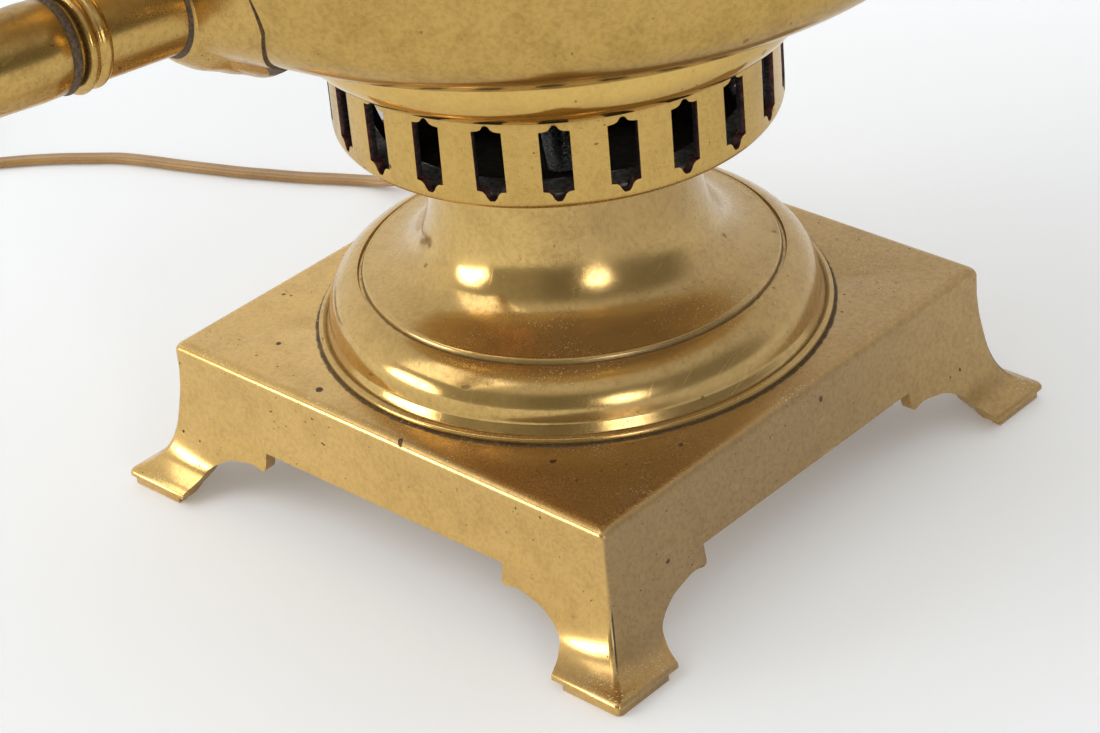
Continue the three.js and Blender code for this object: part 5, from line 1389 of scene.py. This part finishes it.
@dataclass
class Urn:
    """Urn body on its collar, with the lid, crown, cap and riser above it."""

    paints: Paints
    ring_radius: float = 57.1
    collar_base: float = 128.0
    collar_height: float = 15.0
    radius: float = 110.4
    height: float = 201.5
    wall: float = 1.8
    base: float = 143.0
    lid_base: float = 344.5
    lid_radius: float = 81.37
    lid_height: float = 18.0
    crown_radius: float = 40.0
    crown_height: float = 48.0
    rod_hole: float = 5.5
    collar: tuple[Pair, ...] = ((61.7, 126.9), (63.7, 128.6), (65.5, 131.0), (66.8, 134.0), (67.3, 136.6),
                                (67.7, 139.0), (68.7, 141.2), (71.4, 143))
    line: tuple[Pair, ...] = (
        (0.652, 0), (0.743, 0.0162), (0.815, 0.0342), (0.879, 0.0540), (0.906, 0.0630), (0.932, 0.0745),
        (0.951, 0.0875), (0.964, 0.1010), (0.973, 0.1160), (0.981, 0.1410), (0.990, 0.1860), (1, 0.3000),
        (1, 0.4615), (0.995, 0.5767), (0.98, 0.6476), (0.95, 0.7037), (0.905, 0.7484), (0.852, 0.7777),
        (0.838, 0.7886), (0.845, 0.8), (0.815, 0.8149), (0.745, 0.8432), (0.685, 0.8784), (0.64, 0.928),
        (0.668, 0.9663), (0.715, 0.9821), (0.728, 1))
    lid_line: tuple[Pair, ...] = ((.99, 0), (1, .09), (.975, .15), (.89, .235), (.76, .47), (.63, .75),
                                  (.53, .92), (.44, .99), (.39, 1))
    crown_line: tuple[Pair, ...] = ((.77, 0), (.79, .05), (.7, .1), (.48, .17), (.37, .3), (.345, .42),
                                    (.4, .54), (.58, .64), (.8, .73), (.95, .84), (1, .95), (.98, 1))
    cap_line: tuple[Pair, ...] = ((.985, 0), (1, .2), (.93, .42), (.7, .75), (.42, .95), (.36, 1))
    knob_line: tuple[Pair, ...] = ((.75, 0), (.8, .06), (.42, .16), (.36, .34), (.6, .46), (.95, .6),
                                   (1, .74), (.82, .9), (.4, .99))

    def build(self) -> None:
        """Make the urn and what stands on it."""
        rim = [(0.96 * self.ring_radius, self.collar_base), *catmull(self.collar, 5)]
        rim.append((0.96 * self.ring_radius, self.collar_base + self.collar_height))
        keep(Shape.turned("foot_collar", rim, 200), self.paints.collar, "body_collar")
        points = shares(self.line, self.radius, self.height, self.base)
        outer = outline(*runs_of(points, 17, 18, 19), steps=6)
        inner = inward([points[i] for i in (0, 2, 5, 9, 12, 15, 17, 20, 21, 22, 23, 24, 26)], self.wall, 1)
        inner = [(r, max(z, self.base + 2.2)) for r, z in inner]
        inner[-1] = (inner[-1][0], self.base + self.height)
        inner[0] = (inner[0][0], self.base + 2.2)
        floor = [(self.rod_hole, self.base + 2.2), (self.rod_hole, self.base)]
        body = Shape.turned("urn_turning", [*outer, *reversed(inner), *floor], 256, sharp=30)
        keep(body, self.paints.urn, "urn_body")
        self.lid()
        self.crown()

    def lid(self) -> None:
        """Make the lid and its two knobs."""
        base, top = self.lid_base, self.lid_base + self.lid_height
        line = shares(self.lid_line, self.lid_radius, self.lid_height, base)
        outer = outline(*runs_of(line, 2, 3), steps=6)
        under = [(30.5, top - self.wall), (54, base + 11), (70, base + 2.6), (78.5, base)]
        rim = [*outer, (self.rod_hole, top), (self.rod_hole, top - self.wall), *under]
        lid = Shape.turned("lid_turning", rim, 200, sharp=30)
        keep(lid, self.paints.urn, "lid")
        sunk = [(.75 * 7.5, -.3 * 21), *shares(self.knob_line[:2], 7.5, 21.0)]
        body = catmull(shares(self.knob_line[1:], 7.5, 21.0), 6)
        profile = [(0, -.3 * 21), *sunk, *body[1:], (0, 21.0)]
        for name, heading in (("front", -97.0), ("back", 83.0)):
            place = facing(heading) @ Matrix.Translation((.7 * self.lid_radius, 0, self.lid_base + .66 * 18))
            knob = Shape.turned(f"lid_button_{name}", profile, 64, place)
            keep(knob, self.paints.bright, f"lid_knob_{name}")

    def crown(self) -> None:
        """Make the crown vase, its cap and the riser tube."""
        base = self.lid_base + self.lid_height
        line = shares(self.crown_line, self.crown_radius, self.crown_height, base)
        outer = outline(*runs_of(line, 2), steps=6)
        top = base + self.crown_height
        inside = [(.98 * 40 - 2, top), (30.5, base + 33), (16, base + 27), (self.rod_hole, base + 24)]
        crown = Shape.turned("crown_vase", [*outer, *inside, (self.rod_hole, base)], 160, sharp=30)
        keep(crown, self.paints.urn, "crown")
        cap = outline(*runs_of(shares(self.cap_line, 40, 7, top), 1), steps=6)
        keep(Shape.turned("crown_lid", [*cap, (self.rod_hole, top + 7), (self.rod_hole, top)], 160, sharp=30),
             self.paints.bright, "vase_cap")
        tube = slab(self.rod_hole, 8.2, top + 7, top + 40, 0.5, 3)
        keep(Shape.turned("riser", tube, 64), self.paints.bright, "riser_tube")


@dataclass
class Tap:
    """Spigot boss, tube, tap barrel with spout, and the turning key."""

    paints: Paints
    heading: float = -97.0
    tilt: float = 3.0
    level: float = 162.4
    boss: tuple[float, float, float] = (86.0, 110.6, 21.5)
    boss_line: tuple[Pair, ...] = ((0, .75), (.12, .93), (.25, .972), (.4, .94), (.606, .837), (.772, .763),
                                   (.894, .674), (.976, .595), (1, .549))
    tube: float = 11.0
    bead_line: tuple[Pair, ...] = (
        (131.0, 11.0), (131.6, 11.6), (132.5, 12.0), (133.4, 11.8), (134.0, 11.4), (134.5, 11.3),
        (134.9, 11.5), (135.5, 12.0), (136.3, 12.3), (137.0, 12.0), (137.5, 11.0))
    flange_radius: float = 29.0
    flange_shares: tuple[float, ...] = (0, .1, .22, .36, .5, .64, .78, .9, 1)
    seam_line: tuple[Pair, ...] = ((.715, -.02), (.74, .06), (.5, .10), (-.6, .14))
    flange_least: float = 91.0
    barrel_at: float = 180.0
    barrel_line: tuple[Pair, ...] = (
        (0, -24), (9.5, -24), (12.4, -23), (13, -20.5), (13, -19), (13.9, -18), (13.9, -16.6), (12.8, -15.8),
        (12.5, 0), (12.9, 17), (14.4, 17.8), (14.6, 19.8), (14.4, 21.6), (13.6, 22))
    spout_reach: float = 198.5
    spout_drop: float = -33.0
    residue: tuple[tuple[str, tuple[Pair, ...]], ...] = (
        ("root", ((110.0, 12.3), (110.5, 12.0), (110.9, 11.5), (111.2, 11.1), (111.1, 10.4))),
        ("neck", ((138.7, 10.7), (139.2, 11.2), (139.8, 11.4), (140.5, 11.2), (141.1, 10.8))))
    wing: Pair = (19.0, 34.0)
    wing_line: tuple[Pair, ...] = ((.22, 0), (.3, .12), (.62, .22), (.9, .38), (1, .58), (.92, .8), (.7, .94),
                                   (.42, .98), (.2, .9), (0, .8))

    def place(self) -> Matrix:
        """Return the frame whose X runs out along the tap."""
        turn = facing(self.heading) @ Matrix.Rotation(-math.radians(self.tilt), 4, "Y")
        return Matrix.Translation((0, 0, self.level)) @ turn

    def along(self, name: str, profile: Sequence[Pair], segments: int = 96, sharp: float = 32.0) -> Piece:
        """Turn a profile of (distance out, radius) pairs about the tap's axis."""
        return Shape.turned(name, [(r, s) for s, r in profile], segments, self.place() @ ALONG_X, sharp)

    def build(self) -> None:
        """Make the tap."""
        start, end, radius = self.boss
        line = catmull([(start + s * (end - start), r * radius) for s, r in self.boss_line], 8)
        boss = self.along("spigot_root", [(start, 0), *line, (end, 0)], 144)
        keep(boss, self.paints.tap, "spigot_boss")
        bead = outline(*runs_of(self.bead_line, 4, 6), steps=5)
        tube = [(110.6, 0), (110.6, 11.0), *bead, (137.7, 9.8), (140.6, 9.8), (140.6, 0)]
        keep(self.along("spigot_tube", tube), self.paints.tap, "tap_tube")
        self.flange()
        for name, line in self.residue:
            waxed = self.along(f"polish_{name}", [(line[0][0], 10.0), *catmull(line, 4), (line[-1][0], 10.0)])
            keep(waxed, self.paints.residue)
        self.body()
        self.key()

    def wall_at(self, level: float) -> float:
        """Return the urn's radius at a level."""
        share = (level - Urn.base) / Urn.height
        for (r0, z0), (r1, z1) in zip(Urn.line, Urn.line[1:]):
            if z0 <= share < z1:
                return Urn.radius * (r0 + (r1 - r0) * (share - z0) / (z1 - z0))
        return Urn.radius * Urn.line[0][0]

    def seat(self, across: float, rise: float) -> float:
        """Return how far out along the tap the urn's wall lies, across and above the tap's axis."""
        slope = math.radians(self.tilt)
        out = self.boss[1]
        for _ in range(12):
            wall = self.wall_at(self.level + out * math.sin(slope) + rise)
            out = math.sqrt(max(wall ** 2 - across ** 2, 1.0)) / math.cos(slope)
        return max(out, self.flange_least)

    def flange(self) -> None:
        """Make the flange that spreads from the spigot root over the urn's wall, and its dark seam."""
        end, spread, low_spread, count = self.boss[1] - 0.3, self.flange_radius, self.boss[2] + 0.3, 96
        near = self.tube + 0.6
        rings: list[list[Triple]] = [[] for _ in range(len(self.flange_shares) + 1)]
        seam: list[list[Triple]] = [[] for _ in self.seam_line]
        for k in range(count):
            angle = 2 * math.pi * k / count
            cos, sin = math.cos(angle), math.sin(angle)
            reach = spread + (low_spread - spread) * max(0.0, -sin) ** 0.9
            seat = self.seat(reach * cos, reach * sin)
            for ring, share in zip(rings, self.flange_shares):
                radius = near + (reach - self.tube - 0.6) * share
                ring.append((end + (seat + 0.7 - end) * share ** 1.15, radius * cos, radius * sin))
            rings[-1].append((seat - 5, (reach - 1.5) * cos, (reach - 1.5) * sin))
            for ring, (out, wide) in zip(seam, self.seam_line):
                wide *= 1 - 1.6 * max(0.0, -sin)
                ring.append((seat + out, (reach + wide) * cos, (reach + wide) * sin))
        keep(Shape.lofted("spigot_flange", rings, self.place(), 40), self.paints.tap)
        keep(Shape.lofted("flange_seam", seam, self.place(), 60), self.paints.residue)

    def body(self) -> None:
        """Make the tap's sleeve, barrel and spout as one casting."""
        at = self.barrel_at
        line = [(140.9, 0), (140.9, 10.6), (141.4, 11.0), (146.0, 11.2), (160.0, 10.8), (at - 6, 10.2),
                (at, 9.8), (at, 0)]
        sleeve = self.along("tap_casting", line)
        upright = self.place() @ Matrix.Translation((at, 0, 0))
        barrel = outline(*runs_of(self.barrel_line, 3, 5, 7, 9), steps=4)
        drum = Shape.turned("drum", [*barrel, (7.4, 22), (7.4, 0), (0, 0)], 96, upright)
        reach, drop = self.spout_reach - at, self.spout_drop
        path = catmull([(6, 0, 0), (reach * .6, 0, -0.5), (reach * .95, 0, -5), (reach, 0, -13),
                        (reach, 0, -24), (reach, 0, drop)], 8)
        spout = Shape.swept("spout", path, circle(7.5, 48), place=upright)
        lip = rounded([(5.6, 0), (8.8, 0), (8.8, 3.4), (7.4, 4.4), (5.6, 4.4)], .7, 3, True)
        mouth = Shape.turned("mouth", lip, 64, upright @ Matrix.Translation((reach, 0, drop)))
        piece = Shape.joined("tap_casting_whole", sleeve, drum, spout, mouth)
        keep(piece, self.paints.tap, "tap_body")

    def key(self) -> None:
        """Make the plug of the tap with its pierced two-eyed handle."""
        upright = self.place() @ Matrix.Translation((self.barrel_at, 0, 0))
        seat, collar = 22.3, 3.2
        base, top = seat + collar * 2, seat + collar * 4
        line = [(0, .3), (7, .3), (7, seat), (12.6, seat), (13, seat + .5), (13, seat + 1.6),
                (12.6, seat + collar), (9, seat + collar + 1), (5.8, base), (5, seat + collar * 2.6),
                (5, top), (0, top)]
        profile = outline(*runs_of(line, 1, 2, 3, 6, 8, 10), steps=5)
        stem = Shape.turned("key_stem", profile, 72, upright)
        wide, tall = self.wing
        right = catmull(shares(self.wing_line, wide, tall, base), 5)
        wing = [*right, *[(-x, z) for x, z in reversed(right[:-1])]]
        eyes = [circle(wide * .25, 40, side * wide * .52, base + tall * .6, tall * .22 / (wide * .25))
                for side in (1, -1)]
        handle = Shape.plate("key_wing", wing, eyes, 5.0, 1.1, upright @ facing(90) @ UPRIGHT)
        keep(Shape.joined("tap_handle", stem, handle), self.paints.tap, "tap_key", body=Body.TAP)


@dataclass
class SideHandles:
    """Two bracket handles with turned wooden grips on pins."""

    paints: Paints
    level: float = 282.0
    pin_hole: float = 2.9
    arm_in: float = 99.9
    reach: float = 139.0
    grip: Pair = (52.0, 9.5)
    arm: float = 5.0
    eye: float = 7.5
    root: float = 15.0
    plate_reach: float = 115.4
    arm_line: tuple[Pair, ...] = ((0, 1), (.3, .9), (.55, .68), (.78, .52), (.94, .5))
    grip_line: tuple[Pair, ...] = ((0, .62), (.07, .62), (.12, .8), (.3, .97), (.5, 1), (.7, .97), (.88, .8),
                                   (.93, .62), (1, .62))

    def build(self) -> None:
        """Make both handles."""
        for side, heading in (("right", -7.0), ("left", 173.0)):
            place = Matrix.Translation((0, 0, self.level)) @ facing(heading)
            self.bracket(side, place)
            self.hold(side, place)

    def bracket(self, side: str, place: Matrix) -> None:
        """Make one bracket: a curved plate on the body with two pierced arms.

        Args:
            side: Side of the lamp, left or right.
            place: Turn about the lamp's axis and height of the pin.
        """
        span = self.reach - self.arm_in
        upper = catmull([(self.arm_in + x * span, z * self.root) for x, z in self.arm_line], 5)
        tip = [(self.reach + self.eye * math.cos(a), self.eye * math.sin(a))
               for a in (math.pi / 2 - math.pi * k / 24 for k in range(25))]
        shape = [*upper, *tip, *[(x, -z) for x, z in reversed(upper)]]
        hole = circle(self.pin_hole, 28, self.reach)
        inset = self.grip[0] / 2 + 0.3
        arms = [Shape.plate("arm", shape, [hole], self.arm, 0.9,
                            place @ Matrix.Translation((0, y, 0)) @ UPRIGHT)
                for y in (inset + self.arm / 2, -inset - self.arm / 2)]
        wide = inset + self.arm
        sections = []
        for k in range(17):
            y = -wide + 2 * wide * k / 16
            out = math.sqrt(self.plate_reach ** 2 - y * y)
            sections.append([(x, y, z) for x, z in slab(out - 7, out, -10.5, 10.5, 1.2, 3)])
        plate = Shape.lofted("plate", sections, place)
        keep(Shape.joined(f"bracket_{side}", plate, *arms), self.paints.bright,
             f"handle_bracket_{side}")

    def hold(self, side: str, place: Matrix) -> None:
        """Make one turned grip and the pin through it.

        Args:
            side: Side of the lamp, left or right.
            place: Turn about the lamp's axis and height of the pin.
        """
        length, radius = self.grip
        across = place @ Matrix.Translation((self.reach, 0, 0)) @ ALONG_Y
        grip = [(r * radius, (z - .5) * length) for z, r in self.grip_line]
        line = outline(*runs_of(grip, 1, 2, 6, 7), steps=6)
        rings = []
        for r, z in line:
            groove = 0.35 if min(abs(z - 9), abs(z + 9)) < 0.5 else 0.0
            rings.append((r - groove, z))
        bore = [(self.pin_hole, length / 2), (self.pin_hole, -length / 2)]
        grip = Shape.turned(f"grip_{side}", [*rings, *bore], 80, across, 45)
        keep(grip, self.paints.wood, f"handle_grip_{side}")
        end = length / 2 + 0.3 + self.arm + 0.3
        line = [(2.6, end), (5.4, end), (6, end + .7), (6, end + 3), (5.2, end + 5.2), (3.2, end + 6.6),
                (0, end + 7)]
        knob = outline(*runs_of(line, 1, 3), steps=4)
        profile = [*[(r, -z) for r, z in reversed(knob)], *knob]
        pin = Shape.turned(f"pin_{side}", profile, 48, across)
        keep(pin, self.paints.bright, f"handle_pin_{side}")


@dataclass
class Fittings:
    """Harp, its saddle, the socket with its switch, and the bulb."""

    paints: Paints
    riser_top: float = 450.5
    saddle: tuple[float, float, float, float] = (54.0, 14.0, 2.4, 12.0)
    socket: float = 17.0
    socket_base: float = 452.9
    shell_base: float = 472.9
    shell_top: float = 516.9
    bulb_seat: float = 493.9
    harp_base: float = 462.5
    harp_height: float = 214.0
    harp_wire: float = 1.7
    harp_half: float = 62.0
    ferrule_at: float = 25.8
    fitter: float = 684.2
    hub: float = 2.4
    stud_ridges: int = 18
    stud_pitch: float = 0.65
    switch_turn: float = -45.0
    knob_stations: tuple[Triple, ...] = (
        (16.5, 2.4, 0), (27.5, 2.4, 0), (27.5, 4.4, 0), (28.4, 4.7, 0), (30.5, 6.0, .3), (31.5, 6.4, .4),
        (35.4, 6.45, .4), (36.2, 6.1, .2), (36.5, 5.0, 0))
    harp_line: tuple[Pair, ...] = ((.416, 0), (.416, .035), (.416, .07), (.43, .1), (.52, .16), (.76, .27),
                                   (.94, .41), (1, .56), (.93, .73), (.72, .875), (.4, .968), (0, 1))
    bulb_cap_height: float = 26.0
    bulb_glass: Pair = (30.0, 80.0)
    bulb_threads: int = 4
    bulb_line: tuple[Pair, ...] = ((.4, 0), (.42, .06), (.52, .2), (.72, .36), (.92, .5), (1, .63),
                                   (.95, .78), (.76, .91), (.42, .98))

    def build(self) -> None:
        """Make the lamp fittings."""
        self.harp()
        self.holder()
        self.bulb()
        self.switch()

    def harp(self) -> None:
        """Make the harp with its seat and stud, the ferrules and the saddle."""
        right = [(x * self.harp_half, 0, self.harp_base + z * self.harp_height)
                 for x, z in self.harp_line]
        path = catmull([*right, *[(-x, y, z) for x, y, z in reversed(right[:-1])]], 8)
        wire = Shape.swept("wire", path, circle(self.harp_wire, 16))
        top = self.harp_base + self.harp_height + self.harp_wire
        seat = self.fitter
        stud: list[Pair] = [(0, top - 3.4), (4.4, top - 3.4), (5, top - 2.8), (5, seat - .4), (4.6, seat),
                            (2.6, seat)]
        for k in range(self.stud_ridges):
            z = seat + self.hub + self.stud_pitch * k
            stud += [(2.3, z), (2.6, z + .32)]
        stud += [(2.2, seat + 14.4), (0, seat + 14.4)]
        whole = Shape.joined("harp_wire", wire, Shape.turned("stud", stud, 36, sharp=60))
        keep(whole, self.paints.bright, "harp")
        for name, x in (("left", -self.ferrule_at), ("right", self.ferrule_at)):
            self.ferrule(name, x)
        width, depth, thick, ear = self.saddle
        half, base = width / 2, self.riser_top
        near, tip = half - thick, ear - .3
        strap = rounded([(-half, 0), (half, 0), (half, tip), (near, tip), (near, thick), (-near, thick),
                         (-near, tip), (-half, tip)], 1.6, 5, True)
        place = Matrix.Translation((0, 0, base)) @ UPRIGHT
        piece = Shape.plate("saddle_strap", strap, [], depth, 0.35, place)
        hole = Shape.drill("saddle_way", 5.5, base - 3, base + 6)
        keep(Shape.carved(piece, hole), self.paints.bright, "harp_saddle")

    def ferrule(self, name: str, x: float) -> None:
        """Make one ferrule where the harp meets the saddle."""
        low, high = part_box(f"harp_ferrule_{name}")
        base, top = low[2] / MM, high[2] / MM
        bore = self.harp_wire + .1
        line = [(bore, base), (3.1, base), (3.4, base + .4), (3.4, base + 4), (3.0, base + 4.5),
                (3.4, base + 5), (3.4, top - 1), (2.8, top - .2), (bore, top)]
        profile = outline(*runs_of(line, 1, 3, 5, 6), steps=3)
        piece = Shape.turned(f"ferrule_{name}", profile, 40, Matrix.Translation((x, 0, 0)))
        keep(piece, self.paints.bright, f"harp_ferrule_{name}")

    def holder(self) -> None:
        """Make the socket's cap, shell and liner."""
        base, mid, top, r = self.socket_base, self.shell_base, self.shell_top, self.socket
        bell = [(5.5, base), (9.0, base), (9.4, base + 2.4), (13.6, base + 4.8), (16.2, base + 8.8),
                (17, base + 14), (17, mid - 1.2), (16.6, mid - .5), (16.6, mid), (5.5, mid)]
        cap = outline(*runs_of(bell, 1, 6, 8), steps=5)
        keep(Shape.turned("socket_bell", cap, 96), self.paints.bright, "socket_cap")
        line: list[Pair] = [(16, mid), (16.7, mid), (17, mid + .6), (17, mid + 3)]
        for k in range(3):
            z = mid + 3 + 1.6 * k
            line += catmull([(17, z), (16.45, z + .5), (16.45, z + .9), (17, z + 1.4)], 3)
        line += [(17, top - 6)]
        for k in range(2):
            z = top - 5.6 + 2.2 * k
            line += catmull([(16.95, z), (16.4, z + .7), (16.4, z + 1.3), (16.95, z + 2)], 3)
        line += [(17, top - .5), (16.8, top), (16, top)]
        shell = Shape.turned("shell_tube", line, 112)
        bush = Shape.turned("bush", slab(2.8, 4.6, 16.3, 22.3, .4, 3), 48, self.switch_at() @ ALONG_X)
        keep(Shape.joined("socket_sleeve", shell, bush), self.paints.bright, "socket_shell")
        outer, inner = r - 1.3, r - 2.7
        liner = [(0, mid), (outer, mid), (outer, top), (16.6, top), (17, top + .5), (17, top + 2.6),
                 (16.6, top + 3), (inner + .4, top + 3), (inner, top + 2.5), (inner, self.bulb_seat),
                 (0, self.bulb_seat)]
        keep(Shape.turned("socket_inside", liner, 96), self.paints.dark, "socket_liner")

    def bulb(self) -> None:
        """Make the bulb's screw cap and pearl glass."""
        seat, rim = self.bulb_seat, self.bulb_seat + self.bulb_cap_height
        steps = 28
        line: list[Pair] = [(0, seat), (5.2, seat), (9.8, seat + 4.2), (12.4, seat + 6.2)]
        for k in range(steps):
            angle = k / steps * self.bulb_threads * 2 * math.pi
            line.append((12.6 + .4 * math.sin(angle), seat + 6.6 + 15.4 * k / steps))
        line += [(12.9, seat + 22.4), (12.9, rim), (0, rim)]
        keep(Shape.turned("bulb_screw", line, 64), self.paints.bulb_cap, "bulb_base")
        radius, height = self.bulb_glass
        glass = catmull([*shares(self.bulb_line, radius, height, rim), (.18 * radius, rim + 79.6)], 8)
        envelope = Shape.turned("bulb_envelope", [(0, rim), *glass, (0, rim + height)], 128)
        keep(envelope, self.paints.glass, "bulb_glass")

    def switch_at(self) -> Matrix:
        """Return the frame whose X runs out along the switch."""
        level = self.shell_base + .3 * (self.shell_top - self.shell_base)
        return facing(self.switch_turn) @ Matrix.Translation((0, 0, level))

    def switch(self) -> None:
        """Make the turning switch with its ribbed knob."""
        teeth, steps = 24, 6
        count = teeth * steps
        sections = []
        for x, radius, depth in self.knob_stations:
            ring = []
            for k in range(count):
                angle = 2 * math.pi * k / count
                size = radius - depth * (0.5 - 0.5 * math.cos(teeth * angle))
                ring.append((x, size * math.cos(angle), size * math.sin(angle)))
            sections.append(ring)
        knob = Shape.lofted("switch_turner", sections, self.switch_at(), 50)
        keep(knob, self.paints.dark, "switch_knob", body=Body.SWITCH)


@dataclass
class LampShade:
    """Empire shade of lined card with taped edges, its wires, spider and finial."""

    paints: Paints
    bottom: Pair = (210.0, 462.2)
    top: Pair = (112.0, 698.2)
    wall: float = 1.4
    wire: float = 1.8
    fitter: float = 684.2
    hub: float = 2.4
    arm_line: tuple[Pair, ...] = ((0, 0), (.3, 0), (.62, .25), (1, 1))
    finial_line: tuple[Pair, ...] = ((.7, 0), (.75, .1), (.45, .2), (.4, .34), (.85, .46), (1, .62),
                                     (.85, .8), (.4, .96))

    def radius_at(self, level: float) -> float:
        """Return the shade's radius at a level."""
        (r0, z0), (r1, z1) = self.bottom, self.top
        return r0 + (r1 - r0) * (level - z0) / (z1 - z0)

    def build(self) -> None:
        """Make the shade and what holds it."""
        (r0, z0), (r1, z1) = self.bottom, self.top
        levels = [z0 + (z1 - z0) * k / 20 for k in range(1, 20)]
        outer = [(r0 - .35, z0 + .4), *[(self.radius_at(z) - .35, z) for z in levels], (r1 - .35, z1 - .4)]
        card = Shape.turned("shade_card", [*outer, (r1 - .75, z1 - .2), (r0 - .75, z0 + .2)], 192, sharp=60)
        inner = [(r0 - .76, z0 + .4), (r1 - .76, z1 - .4), (r1 - self.wall, z1 - .4),
                 (r0 - self.wall, z0 + .4)]
        lining = Shape.turned("shade_inside", inner, 192, sharp=60)
        keep(card, self.paints.card, "shade", body=Body.SHADE)
        keep(lining, self.paints.lining, "shade", body=Body.SHADE)
        for name, level, rise in (("lower", z0, 7.0), ("upper", z1, -7.0)):
            near, far = self.radius_at(level), self.radius_at(level + rise)
            band = [(near - .05, level), (far - .05, level + rise), (far - .4, level + rise),
                    (far - self.wall + .1, level + rise), (far - self.wall - .25, level + rise),
                    (near - self.wall - .25, level)]
            tape = Shape.turned(f"tape_{name}", band, 192, sharp=60)
            keep(tape, self.paints.tape, "shade", body=Body.SHADE)
        self.seam()
        self.wires()
        self.finial()

    def seam(self) -> None:
        """Make the card's overlapping seam at the back."""
        margin = 7.2
        sections = []
        for level in (self.bottom[1] + margin, self.top[1] - margin):
            radius = self.radius_at(level)
            wide = 9 / radius
            arc = [(math.cos(-wide / 2 + wide * k / 8), math.sin(-wide / 2 + wide * k / 8)) for k in range(9)]
            sections.append([*[((radius - .02) * c, (radius - .02) * s, level) for c, s in arc],
                             *[((radius - .5) * c, (radius - .5) * s, level) for c, s in reversed(arc)]])
        piece = Shape.lofted("shade_seam", sections, facing(128))
        keep(piece, self.paints.card, "shade", body=Body.SHADE)

    def wires(self) -> None:
        """Make the lower wire ring, and the upper ring with its spider."""
        section = circle(self.wire, 14)

        def hoop(name: str, level: float) -> Piece:
            """Make one wire ring just inside the shade."""
            radius = self.radius_at(level) - self.wall - self.wire - .6
            path = [(x, y, level) for x, y in circle(radius, 160)]
            return Shape.swept(name, path, section, level=True, closed=True)

        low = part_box("shade_bottom_wire")[0][2] / MM + self.wire
        keep(hoop("wire_lower", low), self.paints.bright, "shade_bottom_wire", body=Body.SHADE)
        level = self.top[1] - self.wire * 2
        ring = hoop("hoop", level)
        radius = self.radius_at(level) - self.wall - self.wire - .6
        hub = slab(2.9, 12, self.fitter, self.fitter + self.hub, .4, 3)
        parts = [ring, Shape.turned("hub", hub, 72)]
        start, height = 10.2, self.fitter + 1.2
        for i in range(3):
            path = catmull([(start + r * (radius - start), 0, height + z * (level - height))
                            for r, z in self.arm_line], 8)
            turn = facing((i + .25) * 120)
            parts.append(Shape.swept("arm", path, circle(1.65, 14), level=True, place=turn))
        keep(Shape.joined("spider_wire", *parts), self.paints.bright, "shade_spider", body=Body.SHADE)

    def finial(self) -> None:
        """Make the turned nut that holds the shade."""
        base = self.fitter + self.hub
        line = catmull(shares(self.finial_line, 9, 26, base), 7)
        profile = [(3, base), *line, (0, base + 26), (0, base + 12.3), (3, base + 12.3)]
        keep(Shape.turned("finial_turning", profile, 72), self.paints.bright, "finial", body=Body.FINIAL)


def main() -> None:
    """Build the studio and every sub-assembly in order."""
    logging.basicConfig(level=logging.INFO, format="%(message)s")
    paints = Paints()
    Studio().build()
    for part in (Lead(paints), Plinth(paints), Pedestal(paints), VentRing(paints), Urn(paints), Tap(paints),
                 SideHandles(paints), Fittings(paints), LampShade(paints)):
        part.build()
        LOG.info("finished %s", type(part).__name__)


if __name__ == "__main__":
    main()
